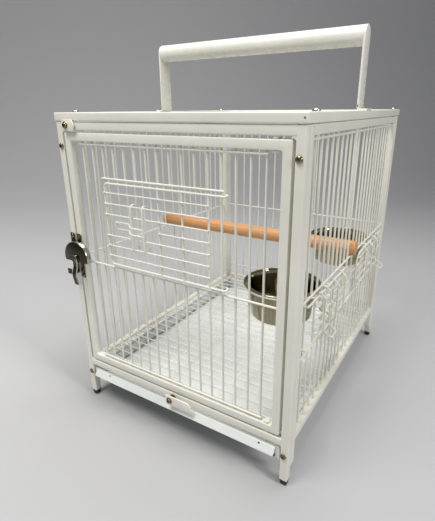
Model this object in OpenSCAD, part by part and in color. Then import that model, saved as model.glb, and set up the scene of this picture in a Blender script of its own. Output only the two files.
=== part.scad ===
// Powder-coated steel travel cage for a large parrot, with a carry handle.
// Lengths are in millimetres and +Z is up. The front door faces -Y. The origin is on the
// floor, at the centre of the cage's footprint. Panels are drawn from the bottom outer corner
// of the front left leg, which the module corner() places.

/* [Cage] */
// Width across the front frame
cage_w = 406; // [396:2:420]
// Depth from the front frame's face to the back frame's face
cage_d = 506; // [490:2:520]
// Height of the corner posts, without feet
frame_h = 492; // [480:2:510]
// Side of the square frame tube
tube = 12; // [12:0.5:12.5]
// Wall of the square frame tube
wall = 1.2; // [1:0.1:1.5]
// Height of the front and back bottom rails' lower faces above the post ends
rail_z = 60; // [58:1:62]
// Gap between the top panel and the panels below it
top_gap = 1; // [0.5:0.25:1.5]
// How far the top panel stands out past the panels below it
top_over = 1.5; // [1:0.5:2]
// How far each foot stands out below its post
foot_h = 10; // [8:1:14]

/* [Wires] */
// Diameter of the bars and the thick cross wires
wire_d = 3.2; // [3:0.1:3.4]
// Diameter of the thin mesh wires
mesh_d = 2.2; // [2:0.1:2.4]
// Bars in the front door
door_bars = 16; // [16:1:16]
// Bars in each half of a side panel
side_bars = 10; // [10:1:10]
// Height of the wire that the perch rests on
mid_z = 270; // [268:1:272]

/* [Front door] */
// Gap around the door
door_gap = 3.5; // [3:0.25:4]
// Distance of the hinge axis from the cage's right face
hinge_inset = 37; // [36:0.5:38]
// Diameter of a hinge pin
pin_d = 6; // [5:0.5:6]

/* [Access door] */
// Height of the access door's top border
access_top = 405.5; // [400:0.5:407]
// Height of the access door's bottom border
access_bottom = 277.5; // [277:0.5:280]
// Rows of thin wire in the access door
access_rows = 7; // [7:1:7]

/* [Feeder doors] */
// Height of the fixed wire under the feeder doors
feeder_sill = 186; // [184:1:188]
// Outer diameter of a cup's rim
cup_d = 118; // [114:1:118]
// Depth of a cup
cup_h = 52; // [48:1:56]
// Height of the cup rings
ring_z = 256; // [255:1:257]

/* [Tray and floor] */
// Height of the tray's floor
tray_z = 31.7; // [31.7:0.1:33]
// Height of the tray's side walls
tray_wall_h = 19; // [16:1:20]
// Thickness of the sheet that the tray and runners are folded from
sheet = 1.2; // [1:0.1:1.5]
// Number of grate wires
grate_rows = 23; // [20:1:26]

/* [Handle and perch] */
// Diameter of the handle tube
grip_d = 29; // [27:1:30]
// Height of the handle tube's axis above the post ends
grip_z = 608; // [590:1:620]
// Diameter of the wooden perch
perch_d = 24; // [22:1:25]

/* [Lock and tabs] */
// Radius of the crescent lock's half disc
cam_r = 28; // [26:1:29]
// Height of the crescent lock's axis
lock_z = 277; // [276:1:280]
// Width of the two swivel tabs
tab_w = 17; // [15:1:17]
// Thickness of the two swivel tabs
tab_t = 2; // [1.5:0.5:2]

/* [Hidden] */

$fn = 48;
eps = 0.01;
white = [0.90, 0.89, 0.84];
steel = [0.72, 0.72, 0.70];
brass = [0.72, 0.60, 0.36];
beech = [0.85, 0.62, 0.40];
black = [0.05, 0.05, 0.05];

// Wires are eight-sided; their centres step apart by less than a diameter so that they weld.
wire_sides = 8;
round_sides = 48;
weld = 0.75;
mid = tube / 2;

// Front frame and door
rail_top = rail_z + tube;
door_x0 = tube + door_gap;
door_x1 = cage_w - tube - door_gap;
door_z0 = rail_top + door_gap;
door_z1 = frame_h - tube - door_gap;
hinge_x = cage_w - hinge_inset;
door_in0 = door_x0 + tube;
door_in1 = door_x1 - tube;
bar_pitch = (door_in1 - door_in0) / (door_bars + 1);
near_wire = 4.5;
pin_play = 0.05;

// Access door, which fills the opening between two of the door's bars
access_bar0 = 2;
access_bar1 = 12;
access_x0 = bar_x(access_bar0) + 3.4;
access_x1 = bar_x(access_bar1);
access_w = access_x1 - access_x0;
sill_z = mid_z;
lintel_z = access_top + 6;
access_h = access_top - access_bottom;
access_cols = [16, 59, 100];
access_row0 = 15.5;
bolt_row = 3;

// Side panels
side_y0 = tube + 0.5;
side_y1 = cage_d - tube - 0.5;
side_z1 = frame_h;
side_rail_z = 57;
side_leg = 20;
perch_gap = perch_d + wire_d + 1.5;
side_pitch = (cage_d / 2 - perch_gap / 2 - side_y0 - tube) / side_bars;
perch_z = mid_z + wire_d / 2 + perch_d / 2;
perch_out = 4;

// Wire doors: how far in front of the bars a door's border lies, where its hinge hooks run
// behind the hinge bar and end, how far its rows pass the outermost wires, how far behind the
// bars' centres a latch's bolt runs to clear them, and how deep the access latch's hooks are.
leaf_off = 6.4;
hook_in = 4.8;
hook_end = -1.5;
past_edge = 1.5;
row_y = -leaf_off - wire_d * weld;
bolt_in = wire_d / 2 + mesh_d / 2 + 0.5;
hook_depth = 12.5;

// Feeder doors: each covers the cut bars of one half of the right panel, from outside
first_cut = 2;
last_cut = 9;
feeder_top = mid_z - 7;
feeder_bottom = feeder_sill + 11;
feeder_h = feeder_top - feeder_bottom;
feeder_hinge_y = side_bar_y(first_cut - 1);
feeder_w = 180;
feeder_x = cage_w - mid;
feeder_cols = [20, 58, 104, 150];
feeder_row_zs = [20, 35, 59];
holder_canes = [98, 136];
latch_canes = [39, 63];
cane_out = 9;
bolt_tip = 177;
bolt_zs = [13, 27];
grip_out = 12;
cup_r = cup_d / 2;
cup_out = 61.5;
cup_along = 63.5;
ring_wire = 3.2;

// Top panel
top_z = frame_h + top_gap;
top_w = cage_w + 2 * top_over;
top_d = cage_d + 2 * top_over;
top_screw_ys = [36, cage_d - 36];
handle_bolt_ys = [cage_d / 2 - 8, cage_d / 2 + 8];

// Handle
strap_t = 3;
strap_x = tube - 0.5;
foot_l = strap_x + top_over;

// Tray, runners and grate
runner_w = 10;
runner_z0 = tray_z - sheet - 0.3;
runner_z1 = 64;
tray_x0 = tube + sheet + 1;
tray_x1 = cage_w - tray_x0;
tray_front = 3;
tray_back = cage_d - tube - 4;
lip_out = 8;
lip_top = 54;
lip_bottom = 41;

// Lock and tabs
lock_x = door_x0 + tube / 2;
lock_screw_up = 34;
cam_back = -4.6;
cam_thick = 9;
cam_skirt = 6;
hook_drop = cam_r + 4;
door_tab_x = 27;
door_tab_z = frame_h - 5;
door_tab_l = 18;
door_tab_stand = 3;
tray_tab_z = 65;
tray_tab_l = 42;
tray_tab_stand = 9;
screw_r = 2;
screw_hole = 2.1;
side_screw_zs = [44, 456];

function access_row_z(k) = access_row0 + k * (access_h - access_row0 - 13.5) / (access_rows - 1);
function bar_x(i) = door_in0 + (i + 1) * bar_pitch;
function side_bar_y(k) = side_y0 + tube + k * side_pitch;

// Moves panel coordinates, which start at the front left leg, to the cage's own origin.
module corner() {
    translate([-cage_w / 2, -cage_d / 2, foot_h]) children();
}

// Copies a shape from the left side to the right side as well.
module both_sides() {
    children();
    translate([cage_w, 0, 0]) mirror([1, 0, 0]) children();
}

// A straight wire from a to b.
module rod(a, b, d = wire_d, sides = wire_sides) {
    v = b - a;
    l = norm(v);
    translate(a) rotate([0, acos(v[2] / l), atan2(v[1], v[0])])
        cylinder(d = d, h = l, $fn = sides);
}

// A bent wire through the points of a path. Each run passes its bends a little, to fill them.
module bent_wire(path, d = wire_d) {
    last = len(path) - 2;
    for (i = [0 : last]) {
        v = path[i + 1] - path[i];
        u = v / norm(v) * d * 0.4;
        rod(i > 0 ? path[i] - u : path[i], i < last ? path[i + 1] + u : path[i + 1], d);
    }
}

// The hollow of a run of tube whose outside is the box at this place and of this size.
module tube_bore(at, size) {
    inset = [wall, wall, wall];
    translate(at + inset) cube(size - 2 * inset);
}

// A pan-head screw on the origin, head towards -Y, with a cross recess.
module pan_screw(head_d = 8, head_h = 2.6, shank = 14) {
    difference() {
        union() {
            rotate([90, 0, 0]) rotate_extrude() intersection() {
                square([head_d / 2, head_h]);
                translate([0, head_h - head_d * 0.75]) circle(r = head_d * 0.75);
            }
            rotate([-90, 0, 0]) cylinder(r = screw_r, h = shank);
        }
        for (a = [0, 90]) rotate([0, a, 0])
            translate([-head_d * 0.27, -head_h - 1, -0.5]) cube([head_d * 0.54, 2.2, 1]);
    }
}

// Where the screws that join an end frame to the side panels go.
module side_screw_spots() {
    for (x = [mid + 1, cage_w - mid - 1], z = side_screw_zs) translate([x, 0, z]) children();
}

// A welded end frame with two posts, a top rail and a bottom rail.
module end_frame() {
    difference() {
        union() {
            for (x = [0, cage_w - tube]) translate([x, 0, 0]) cube([tube, tube, frame_h]);
            for (z = [rail_z, frame_h - tube]) translate([0, 0, z]) cube([cage_w, tube, tube]);
        }
        for (x = [0, cage_w - tube]) tube_bore([x, 0, -2 * wall], [tube, tube, frame_h + 2 * wall]);
        for (z = [rail_z, frame_h - tube]) tube_bore([0, 0, z], [cage_w, tube, tube]);
        side_screw_spots() translate([0, -1, 0])
            rotate([-90, 0, 0]) cylinder(r = screw_hole, h = tube + 2);
    }
}

module front_frame() {
    gusset = 6;
    color(white) corner() difference() {
        union() {
            end_frame();
            both_sides() translate([tube - eps, mid + 1, frame_h - tube + eps])
                rotate([90, 0, 0]) linear_extrude(2)
                    polygon([[0, 0], [gusset, 0], [0, -gusset]]);
        }
        for (z = [rail_top - 8, frame_h - tube - 1])
            translate([hinge_x, mid, z]) cylinder(d = pin_d, h = 9);
        for (p = [[door_tab_x, door_tab_z], [cage_w / 2, tray_tab_z]])
            translate([p[0], -1, p[1]]) rotate([-90, 0, 0])
                cylinder(r = screw_hole, h = tube);
        translate([mid, -1, lock_z + lock_screw_up]) rotate([-90, 0, 0])
            cylinder(r = screw_hole, h = tube);
    }
}

module back_frame() {
    color(white) corner() translate([0, cage_d - tube, 0]) end_frame();
}

// One side panel's tube frame, standing at the panel's outer face x = 0.
module side_frame() {
    len_y = side_y1 - side_y0;
    difference() {
        union() {
            for (y = [side_y0, side_y1 - tube])
                translate([0, y, side_leg]) cube([tube, tube, side_z1 - side_leg]);
            for (z = [side_rail_z, side_z1 - tube])
                translate([0, side_y0, z]) cube([tube, len_y, tube]);
        }
        for (y = [side_y0, side_y1 - tube])
            tube_bore([0, y, side_leg - 2 * wall], [tube, tube, side_z1 - side_leg + 2 * wall]);
        for (z = [side_rail_z, side_z1 - tube]) tube_bore([0, side_y0, z], [tube, len_y, tube]);
        for (y = [side_y0 - 1, side_y1 - tube + 4], z = side_screw_zs)
            translate([mid + 1, y, z]) rotate([-90, 0, 0])
                cylinder(r = screw_hole, h = tube - 3);
        for (y = concat(top_screw_ys, handle_bolt_ys))
            translate([mid - top_over, y, side_z1 - tube / 2]) cylinder(r = screw_hole, h = tube);
    }
}

module left_frame() {
    color(white) corner() side_frame();
}

module right_frame() {
    color(white) corner() translate([cage_w, 0, 0]) mirror([1, 0, 0]) side_frame();
}

// Where the screws through the top panel go, on each side rail.
module top_screw_spots() {
    for (x = [mid - top_over, cage_w - mid + top_over], y = top_screw_ys)
        translate([x, y, top_z]) children();
}

// Where the handle's bolts go, on each side rail.
module handle_bolt_spots() {
    for (x = [mid - top_over, cage_w - mid + top_over], y = handle_bolt_ys)
        translate([x, y, top_z]) children();
}

// The top panel's frame, with a drain hole at its front right corner.
module top_frame() {
    color(white) corner() difference() {
        translate([-top_over, -top_over, top_z]) difference() {
            cube([top_w, top_d, tube]);
            translate([tube, tube, -1]) cube([top_w - 2 * tube, top_d - 2 * tube, tube + 2]);
            difference() {
                translate([wall, wall, wall])
                    cube([top_w - 2 * wall, top_d - 2 * wall, tube - 2 * wall]);
                translate([tube - wall, tube - wall, 0])
                    cube([top_w - 2 * tube + 2 * wall, top_d - 2 * tube + 2 * wall, tube]);
            }
        }
        top_screw_spots() translate([0, 0, -1]) cylinder(r = screw_hole, h = tube + 2);
        handle_bolt_spots() translate([0, 0, -1]) cylinder(r = screw_hole, h = tube + 2);
        translate([cage_w + top_over - 3, -top_over - 1, top_z + mid]) rotate([-90, 0, 0])
            cylinder(r = 1.2, h = wall + 2);
    }
}

module back_bars() {
    y = cage_d - mid;
    x0 = tube;
    x1 = cage_w - tube;
    pitch = (x1 - x0) / 18;
    color(white) corner() {
        for (i = [1 : 17]) rod([x0 + i * pitch, y, rail_top], [x0 + i * pitch, y, frame_h - tube]);
        for (z = [rail_top + near_wire + 24, mid_z, frame_h - tube - near_wire])
            rod([x0, y - wire_d * weld, z], [x1, y - wire_d * weld, z]);
    }
}

// A side panel's bars. Some in each half are cut where a feeder door closes the opening, and the
// bar that the feeder door turns on is round.
module side_bar_row(cuts) {
    for (half = [0, 1], k = [1 : side_bars]) {
        y = half == 0 ? side_bar_y(k) : cage_d - side_bar_y(k);
        z0 = side_rail_z + tube;
        z1 = side_z1 - tube;
        if (cuts && k >= first_cut && k <= last_cut) {
            rod([mid, y, z0], [mid, y, feeder_sill]);
            rod([mid, y, mid_z], [mid, y, z1]);
        } else rod([mid, y, z0], [mid, y, z1], sides = k < first_cut ? round_sides : wire_sides);
    }
}

// One side panel's bars and cross wires, at the panel's outer face x = 0.
module side_grille(cuts) {
    y0 = side_y0 + tube;
    y1 = side_y1 - tube;
    x = mid - wire_d * weld;
    side_bar_row(cuts);
    for (z = cuts ? [mid_z, feeder_sill, side_z1 - tube - near_wire]
                  : [mid_z, side_z1 - tube - near_wire])
        rod([x, y0, z], [x, y1, z]);
}

module left_bars() {
    color(white) corner() side_grille(false);
}

module right_bars() {
    color(white) corner() translate([cage_w, 0, 0]) mirror([1, 0, 0]) side_grille(true);
}

module top_bars() {
    x0 = tube - top_over;
    x1 = cage_w - x0;
    y0 = tube - top_over;
    y1 = cage_d - y0;
    pitch = (x1 - x0) / 18;
    z = top_z + mid;
    color(white) corner() {
        for (i = [1 : 17]) rod([x0 + i * pitch, y0, z], [x0 + i * pitch, y1, z]);
        for (y = [y0 + near_wire, cage_d / 2 - 40, cage_d / 2 + 40, y1 - near_wire])
            rod([x0, y, z - wire_d * weld], [x1, y, z - wire_d * weld]);
    }
}

module handle_tube() {
    color(white) corner() translate([strap_x + strap_t, cage_d / 2, grip_z]) rotate([0, 90, 0])
        difference() {
            l = cage_w - 2 * (strap_x + strap_t);
            cylinder(d = grip_d, h = l);
            translate([0, 0, -1]) cylinder(d = grip_d - 3, h = l + 2);
        }
}

// Two flat straps with rounded tops; each foot is folded outwards on to the top panel.
module handle_legs() {
    base = top_z + tube;
    color(white) corner() both_sides() difference() {
        union() {
            translate([strap_x, cage_d / 2, 0]) {
                translate([0, -grip_d / 2, base]) cube([strap_t, grip_d, grip_z - base]);
                translate([0, 0, grip_z]) rotate([0, 90, 0]) cylinder(d = grip_d, h = strap_t);
            }
            translate([-top_over, cage_d / 2 - grip_d / 2, base]) cube([foot_l + eps, grip_d, 2]);
        }
        handle_bolt_spots() cylinder(r = screw_hole, h = tube + 10);
    }
}

module handle_bolts() {
    base = top_z + tube + 2;
    color(brass) corner() handle_bolt_spots() {
        translate([0, 0, base - top_z]) rotate([-90, 0, 0]) pan_screw(8, 2.6, tube + 8);
    }
}

module top_screws() {
    color(brass) corner() top_screw_spots()
        translate([0, 0, tube]) rotate([-90, 0, 0]) pan_screw(9, 3, tube + 6);
}

// Flat washers in the gap under the top panel, at its screws.
module top_spacers() {
    color(steel) corner() top_screw_spots() translate([0, 0, -top_gap]) difference() {
        cylinder(d = 10, h = top_gap);
        translate([0, 0, -1]) cylinder(r = screw_hole, h = top_gap + 2);
    }
}

module frame_screws() {
    color(brass) corner() {
        side_screw_spots() pan_screw();
        translate([0, cage_d, 0]) mirror([0, 1, 0]) side_screw_spots() pan_screw();
    }
}

// Plastic caps: a plug inside the post, a flange under its end and a smaller foot block.
module foot_caps() {
    plug = tube - 2 * wall - 0.2;
    pad = tube - 2;
    color(black) corner()
        for (x = [mid, cage_w - mid], y = [mid, cage_d - mid]) translate([x, y, 0]) {
            translate([-plug / 2, -plug / 2, -1]) cube([plug, plug, 13]);
            translate([-mid, -mid, -2]) cube([tube, tube, 2]);
            translate([-pad / 2, -pad / 2, -foot_h]) cube([pad, pad, foot_h - 1]);
        }
}

// Two bolts that the front door turns on. Each is fixed in a rail of the front frame, spans the
// gap with a collar, runs through the door's rail and ends in a head inside the door.
module hinge_pins() {
    in_frame = 8;
    head_gap = 0.3;
    l = in_frame + door_gap + tube + head_gap;
    color(steel) corner() translate([hinge_x, mid, 0]) for (side = [0, 1])
        translate([0, 0, side * (rail_top + frame_h - tube)]) mirror([0, 0, side]) {
            translate([0, 0, rail_top - in_frame]) cylinder(d = pin_d, h = l);
            translate([0, 0, rail_top]) cylinder(d = pin_d + 4, h = door_gap - head_gap);
            translate([0, 0, door_z0 + tube + head_gap]) cylinder(d = pin_d + 4, h = 3.5);
        }
}

module door_frame() {
    w = door_x1 - door_x0;
    h = door_z1 - door_z0;
    color(white) corner() difference() {
        translate([door_x0, 0, door_z0]) difference() {
            cube([w, tube, h]);
            translate([tube, -1, tube]) cube([w - 2 * tube, tube + 2, h - 2 * tube]);
            difference() {
                translate([wall, wall, wall]) cube([w - 2 * wall, tube - 2 * wall, h - 2 * wall]);
                translate([tube - wall, 0, tube - wall])
                    cube([w - 2 * tube + 2 * wall, tube, h - 2 * tube + 2 * wall]);
            }
        }
        for (z = [door_z0 - 1, door_z1 - tube - 1])
            translate([hinge_x, mid, z]) cylinder(d = pin_d + 2 * pin_play, h = tube + 2);
        for (z = [-1, 1]) translate([lock_x, -1, lock_z + z * lock_screw_up])
            rotate([-90, 0, 0]) cylinder(r = screw_hole, h = tube);
    }
}

// The door's bars, its cross wires, and the opening that the access door closes.
module door_grille() {
    z0 = door_z0 + tube;
    z1 = door_z1 - tube;
    y = mid - wire_d * weld;
    color(white) corner() {
        for (i = [0 : door_bars - 1]) {
            x = bar_x(i);
            if (i > access_bar0 && i < access_bar1) {
                rod([x, mid, z0], [x, mid, sill_z]);
                rod([x, mid, lintel_z], [x, mid, z1]);
            } else rod([x, mid, z0], [x, mid, z1],
                       sides = i == access_bar1 ? round_sides : wire_sides);
        }
        rod([door_in0, y, sill_z], [door_in1, y, sill_z]);
        for (z = [z0 + near_wire, z1 - near_wire])
            rod([bar_x(0) - 2, y, z], [bar_x(door_bars - 1) + 2, y, z]);
        rod([bar_x(access_bar0) - 4, y, lintel_z], [bar_x(access_bar1) + 4, y, lintel_z]);
    }
}

// A wire door's border in the door's own frame: the hinge bar is the z axis, the door runs
// towards -X and its outside faces -Y. The free end's corners are rounded. The other end of each
// border wire passes the hinge bar by the given length and hooks round behind it.
module border(w, h, bend, past_hinge) {
    steps = 2;
    y = -leaf_off;
    arc = [for (i = [0 : steps]) bend * [1 - sin(90 * i / steps), 1 - cos(90 * i / steps)]];
    low = [for (i = [0 : steps]) [arc[i][0] - w, y, arc[i][1]]];
    high = [for (i = [steps : -1 : 0]) [arc[i][0] - w, y, h - arc[i][1]]];
    hook = [[hook_end, hook_in], [past_hinge, hook_in], [past_hinge, y]];
    bent_wire(concat([for (p = hook) [p[0], p[1], 0]], low, high,
                     [for (i = [2 : -1 : 0]) [hook[i][0], hook[i][1], h]]));
}

// Where a row's free end is on a rounded border: how far inside the border's end it starts.
function row_inset(h, bend, z) =
    let (d = max(0, bend - z, z - h + bend)) bend - sqrt(bend * bend - d * d);

// The row that the latch's bolt takes the place of is short.
module access_door() {
    bend = 7;
    color(white) corner() translate([access_x1, mid, access_bottom]) {
        border(access_w, access_h, bend, 8);
        for (k = [0 : access_rows - 1]) {
            z = access_row_z(k);
            x0 = k == bolt_row ? -access_cols[2] : row_inset(access_h, bend, z) - access_w;
            rod([x0 - past_edge, row_y, z], [past_edge - access_cols[0], row_y, z], mesh_d);
        }
        for (x = access_cols) rod([-x, -leaf_off, 0], [-x, -leaf_off, access_h]);
    }
}

// The access door's sliding latch. Two uprights hook round two rows of the door, from outside
// to inside. They carry a two-armed bolt that runs inside the door and, slid out, passes behind
// the bar beside the opening.
module access_latch() {
    reach = mesh_d + 0.35;
    front = row_y - reach;
    back = front + hook_depth;
    tail = 9;
    z0 = access_row_z(1) - reach;
    z1 = access_row_z(access_rows - 2) + reach;
    xs = [54 - access_w, 76 - access_w];
    tip = 5.5 - access_w;
    arms = [access_row_z(bolt_row) - 9, access_row_z(bolt_row) + 1.5];
    color(white) corner() translate([access_x1, mid, access_bottom]) {
        for (x = xs) bent_wire([[x, back, z0 + tail], [x, back, z0], [x, front, z0],
                                [x, front, z1], [x, back, z1], [x, back, z1 - tail]], mesh_d);
        for (z = arms) bent_wire([[xs[1] + 1, front, z], [xs[0] - 3, front, z],
                                  [xs[0] - 20, bolt_in, z], [tip, bolt_in, z]], mesh_d);
        rod([tip + 3.5, bolt_in, arms[0]], [tip + 3.5, bolt_in, arms[1]], mesh_d);
    }
}

// Places a feeder door's own frame, in which the hinge bar is the z axis, the door runs towards
// -X and its outside faces -Y. The front door turns on its front edge and the rear door, its
// mirror image, on its rear edge.
module feeder_place(rear) {
    far = rear ? 1 : 0;
    corner() translate([feeder_x, far * cage_d, feeder_bottom]) mirror([0, 1 - far, 0])
        translate([0, -feeder_hinge_y, 0]) rotate([0, 0, 90]) children();
}

// An upright that hooks over a feeder door's top border and under its bottom border, and stands
// out from the door between them. The gap is what is left between it and the borders.
module cane(x, gap) {
    a = (wire_d + mesh_d) / 2 + gap;
    y = -leaf_off;
    top = feeder_h + a;
    bent_wire([[x, y + a, feeder_h - 4], [x, y + a, top - 1], [x, y + a - 1, top],
               [x, y - a, top], [x, y - 6.5, top - 3], [x, y - cane_out, top - 8],
               [x, y - cane_out, 8 - a], [x, y - 6.5, 3 - a], [x, y - a, -a],
               [x, y + a - 1, -a], [x, y + a, 1 - a], [x, y + a, 5]], mesh_d);
}

// A feeder door with the ring that carries its cup.
module feeder_door(rear) {
    bend = 24;
    ring_r = cup_r - 4 + ring_wire / 2;
    ring_h = ring_z - feeder_bottom;
    color(white) feeder_place(rear) {
        border(feeder_w, feeder_h, bend, 6);
        for (x = feeder_cols) rod([-x, -leaf_off, 0], [-x, -leaf_off, feeder_h]);
        for (z = feeder_row_zs)
            rod([row_inset(feeder_h, bend, z) - feeder_w - past_edge, row_y, z],
                [past_edge - feeder_cols[0], row_y, z], mesh_d);
        for (x = holder_canes) cane(-x, -0.4);
        translate([-cup_along, cup_out, ring_h]) rotate_extrude($fn = 96)
            translate([ring_r, 0]) circle(d = ring_wire, $fn = 16);
        for (s = [-1, 1]) rod([s * 24 - cup_along, row_y, ring_h],
                              [s * 24 - cup_along, cup_out - ring_r * 0.85, ring_h]);
    }
}

module front_feeder_door() {
    feeder_door(false);
}

module rear_feeder_door() {
    feeder_door(true);
}

// A feeder door's sliding latch: two uprights hooked on the borders, a finger loop, and a
// hairpin bolt that runs inside the door and, slid out, passes behind the next bar.
module feeder_latch(rear) {
    out = -leaf_off - cane_out;
    xs = -latch_canes;
    lead = [xs[1] - 5, out + 5];
    inner = xs[1] - 9;
    color(white) feeder_place(rear) {
        for (x = xs) cane(x, 0.35);
        for (z = [bolt_zs[0], feeder_h - 20]) rod([xs[0], out, z], [xs[1], out, z], mesh_d);
        bent_wire([[xs[1], out, bolt_zs[0]], [lead[0], lead[1], bolt_zs[0]],
                   [inner, bolt_in, bolt_zs[0]], [-bolt_tip, bolt_in, bolt_zs[0]],
                   [-bolt_tip, bolt_in, bolt_zs[1]], [inner, bolt_in, bolt_zs[1]],
                   [lead[0], lead[1], bolt_zs[1]], [xs[1], out, bolt_zs[1]]], mesh_d);
        bent_wire([[xs[0], out, 10], [xs[0], out - grip_out, 4], [xs[1], out - grip_out, 4],
                   [xs[1], out, 10]], mesh_d);
    }
}

module front_feeder_latch() {
    feeder_latch(false);
}

module rear_feeder_latch() {
    feeder_latch(true);
}

// A pressed steel cup: a flat base, a rounded corner, a flared wall and a rolled rim.
module cup(rear) {
    t = 0.8;
    base_r = cup_r - 18;
    ring_top = ring_z - feeder_bottom + ring_wire / 2;
    color(steel) feeder_place(rear) translate([-cup_along, cup_out, ring_top + 0.05])
        rotate_extrude($fn = 96)
            polygon([[0, t - cup_h], [0, -cup_h], [base_r, -cup_h], [base_r + 5, 3 - cup_h],
                     [cup_r - 7, -4], [cup_r - 6.5, 0], [cup_r, 0], [cup_r, 1.6],
                     [cup_r - 7.5, 1.6], [cup_r - 8, -4], [base_r + 4.4, 3.6 - cup_h],
                     [base_r - 0.4, t - cup_h]]);
}

module front_cup() {
    cup(false);
}

module rear_cup() {
    cup(true);
}

// The chrome plate on the door stile, with the post that the crescent turns on.
module lock_base() {
    color(steel) corner() difference() {
        union() {
            translate([door_x0 + 0.5, -2.5, lock_z - lock_screw_up - 5])
                cube([tube - 1, 2.5, 2 * lock_screw_up + 10]);
            translate([lock_x, -2.4, lock_z]) rotate([90, 0, 0]) cylinder(d = 11, h = 2);
            translate([lock_x, -4, lock_z]) rotate([90, 0, 0]) cylinder(d = pin_d, h = 14.5);
        }
        for (z = [-1, 1]) translate([lock_x, -4, lock_z + z * lock_screw_up])
            rotate([-90, 0, 0]) cylinder(r = screw_hole, h = 6);
    }
}

// A hollow half disc that opens towards the door, and the paddle lever that turns it.
module lock_cam() {
    lever_w = 8;
    lever_l = 46;
    color(steel) corner() translate([lock_x, cam_back, lock_z]) rotate([90, 0, 0]) difference() {
        union() {
            difference() {
                cylinder(r = cam_r, h = cam_thick);
                translate([0, 0, -1]) cylinder(r = cam_r - 3, h = cam_thick - 1);
                translate([-cam_r - 1, -2 * cam_r - cam_skirt, -1])
                    cube([2 * cam_r + 2, 2 * cam_r, cam_thick + 2]);
            }
            cylinder(d = 13, h = cam_thick);
            translate([0, 0, cam_thick - 1]) linear_extrude(4) polygon([
                [-6, 5], [6, 5], [4.5, -16], [lever_w, 10 - lever_l], [lever_w * 0.6, -lever_l],
                [-lever_w * 0.6, -lever_l], [-lever_w, 10 - lever_l], [-4.5, -16]]);
        }
        translate([0, 0, -1]) cylinder(d = pin_d + 2 * pin_play, h = cam_thick + 5);
    }
}

// The plate on the post, with the hook that the half disc turns in behind.
module lock_keeper() {
    w = tube - 1.5;
    hook_y = cam_back - cam_thick - 0.7;
    color(steel) corner() difference() {
        union() {
            translate([0.8, -2, lock_z - hook_drop]) cube([w, 2, hook_drop + lock_screw_up + 5]);
            translate([0.8, hook_y - 2, lock_z - hook_drop]) cube([w, -hook_y + 1, 2.5]);
            translate([0.8, hook_y - 2, lock_z - hook_drop]) cube([w, 2, 11]);
        }
        translate([mid, -3, lock_z + lock_screw_up]) rotate([-90, 0, 0])
            cylinder(r = screw_hole, h = 4);
    }
}

module lock_screws() {
    color(brass) corner() for (z = [-1, 1])
        translate([lock_x, -2.5, lock_z + z * lock_screw_up]) pan_screw(7.5, 1.7, 10);
}

module keeper_screws() {
    color(brass) corner() translate([mid, -2, lock_z + lock_screw_up]) pan_screw(7.5, 1.7, 10);
}

// A flat swivel tab lying along +X from its screw, with a rounded free end.
module swivel_tab(l) {
    rotate([90, 0, 0]) difference() {
        union() {
            translate([-tab_w / 2 + 1, -tab_w / 2, 0]) cube([l + tab_w / 2 - 5, tab_w, tab_t]);
            translate([l - 5, 0, 0]) intersection() {
                cylinder(r = tab_w * 0.62, h = tab_t);
                translate([0, -tab_w / 2, 0]) cube([tab_w, tab_w, tab_t]);
            }
        }
        translate([0, 0, -1]) cylinder(r = screw_hole, h = tab_t + 2);
    }
}

// A screw through a spacer and a washer, which a swivel tab turns on.
module tab_screw(stand) {
    translate([0, -stand - tab_t - 0.3, 0]) pan_screw(8, 2.6, stand + tab_t + 9);
    rotate([90, 0, 0]) difference() {
        cylinder(d = 10, h = stand - 0.1);
        translate([0, 0, -1]) cylinder(r = screw_r - eps, h = stand + 2);
    }
}

module door_tab() {
    color(white) corner() translate([door_tab_x, -door_tab_stand, door_tab_z])
        swivel_tab(door_tab_l);
}

module door_tab_screw() {
    color(brass) corner() translate([door_tab_x, 0, door_tab_z]) tab_screw(door_tab_stand);
}

module tray_tab() {
    color(white) corner() translate([cage_w / 2, -tray_tab_stand, tray_tab_z])
        swivel_tab(tray_tab_l);
}

module tray_tab_screw() {
    color(brass) corner() translate([cage_w / 2, 0, tray_tab_z]) tab_screw(tray_tab_stand);
}

// A folded tray whose front edge turns over into a sloping lip.
module tray() {
    w = tray_x1 - tray_x0;
    d = tray_back - tray_front;
    color(white) corner() {
        translate([tray_x0, tray_front, tray_z]) difference() {
            cube([w, d, tray_wall_h]);
            translate([sheet, sheet, sheet]) cube([w - 2 * sheet, d - 2 * sheet, tray_wall_h]);
        }
        difference() {
            translate([tray_x0 + 7, 0, 0]) rotate([90, 0, 90]) linear_extrude(w - 14)
                polygon([[tray_front + sheet, tray_z + tray_wall_h - 4], [tray_front + sheet, lip_top],
                         [tray_front - 1, lip_top], [-lip_out + 2, lip_bottom],
                         [-lip_out + 3.6, lip_bottom], [tray_front, lip_top - 2.5],
                         [tray_front, tray_z + tray_wall_h - 4]]);
            for (x = [55, cage_w - 46]) translate([x, -10, lip_top - 5])
                rotate([-90, 0, 0]) cylinder(d = 3, h = 12.5);
        }
        for (x = [tray_x0 + 7, tray_x1 - 8]) translate([x, 0, 0])
            rotate([90, 0, 90]) linear_extrude(1)
                polygon([[tray_front + 0.5, lip_top - 1.5], [-lip_out + 3.4, lip_bottom + 0.3],
                         [tray_front + 0.5, lip_bottom + 0.3]]);
    }
}

// A C-shaped channel: the tray slides on its lower flange, the grate lies on its upper one.
module runner() {
    translate([tube, side_y0 + 1, 0]) {
        l = side_y1 - side_y0 - 2;
        translate([0, 0, runner_z0]) cube([sheet, l, runner_z1 - runner_z0]);
        translate([0, 0, runner_z0]) cube([runner_w, l, sheet]);
        translate([0, 0, runner_z1 - sheet]) cube([runner_w, l, sheet]);
    }
}

module tray_runner_left() {
    color(white) corner() runner();
}

module tray_runner_right() {
    color(white) corner() translate([cage_w, 0, 0]) mirror([1, 0, 0]) runner();
}

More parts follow.
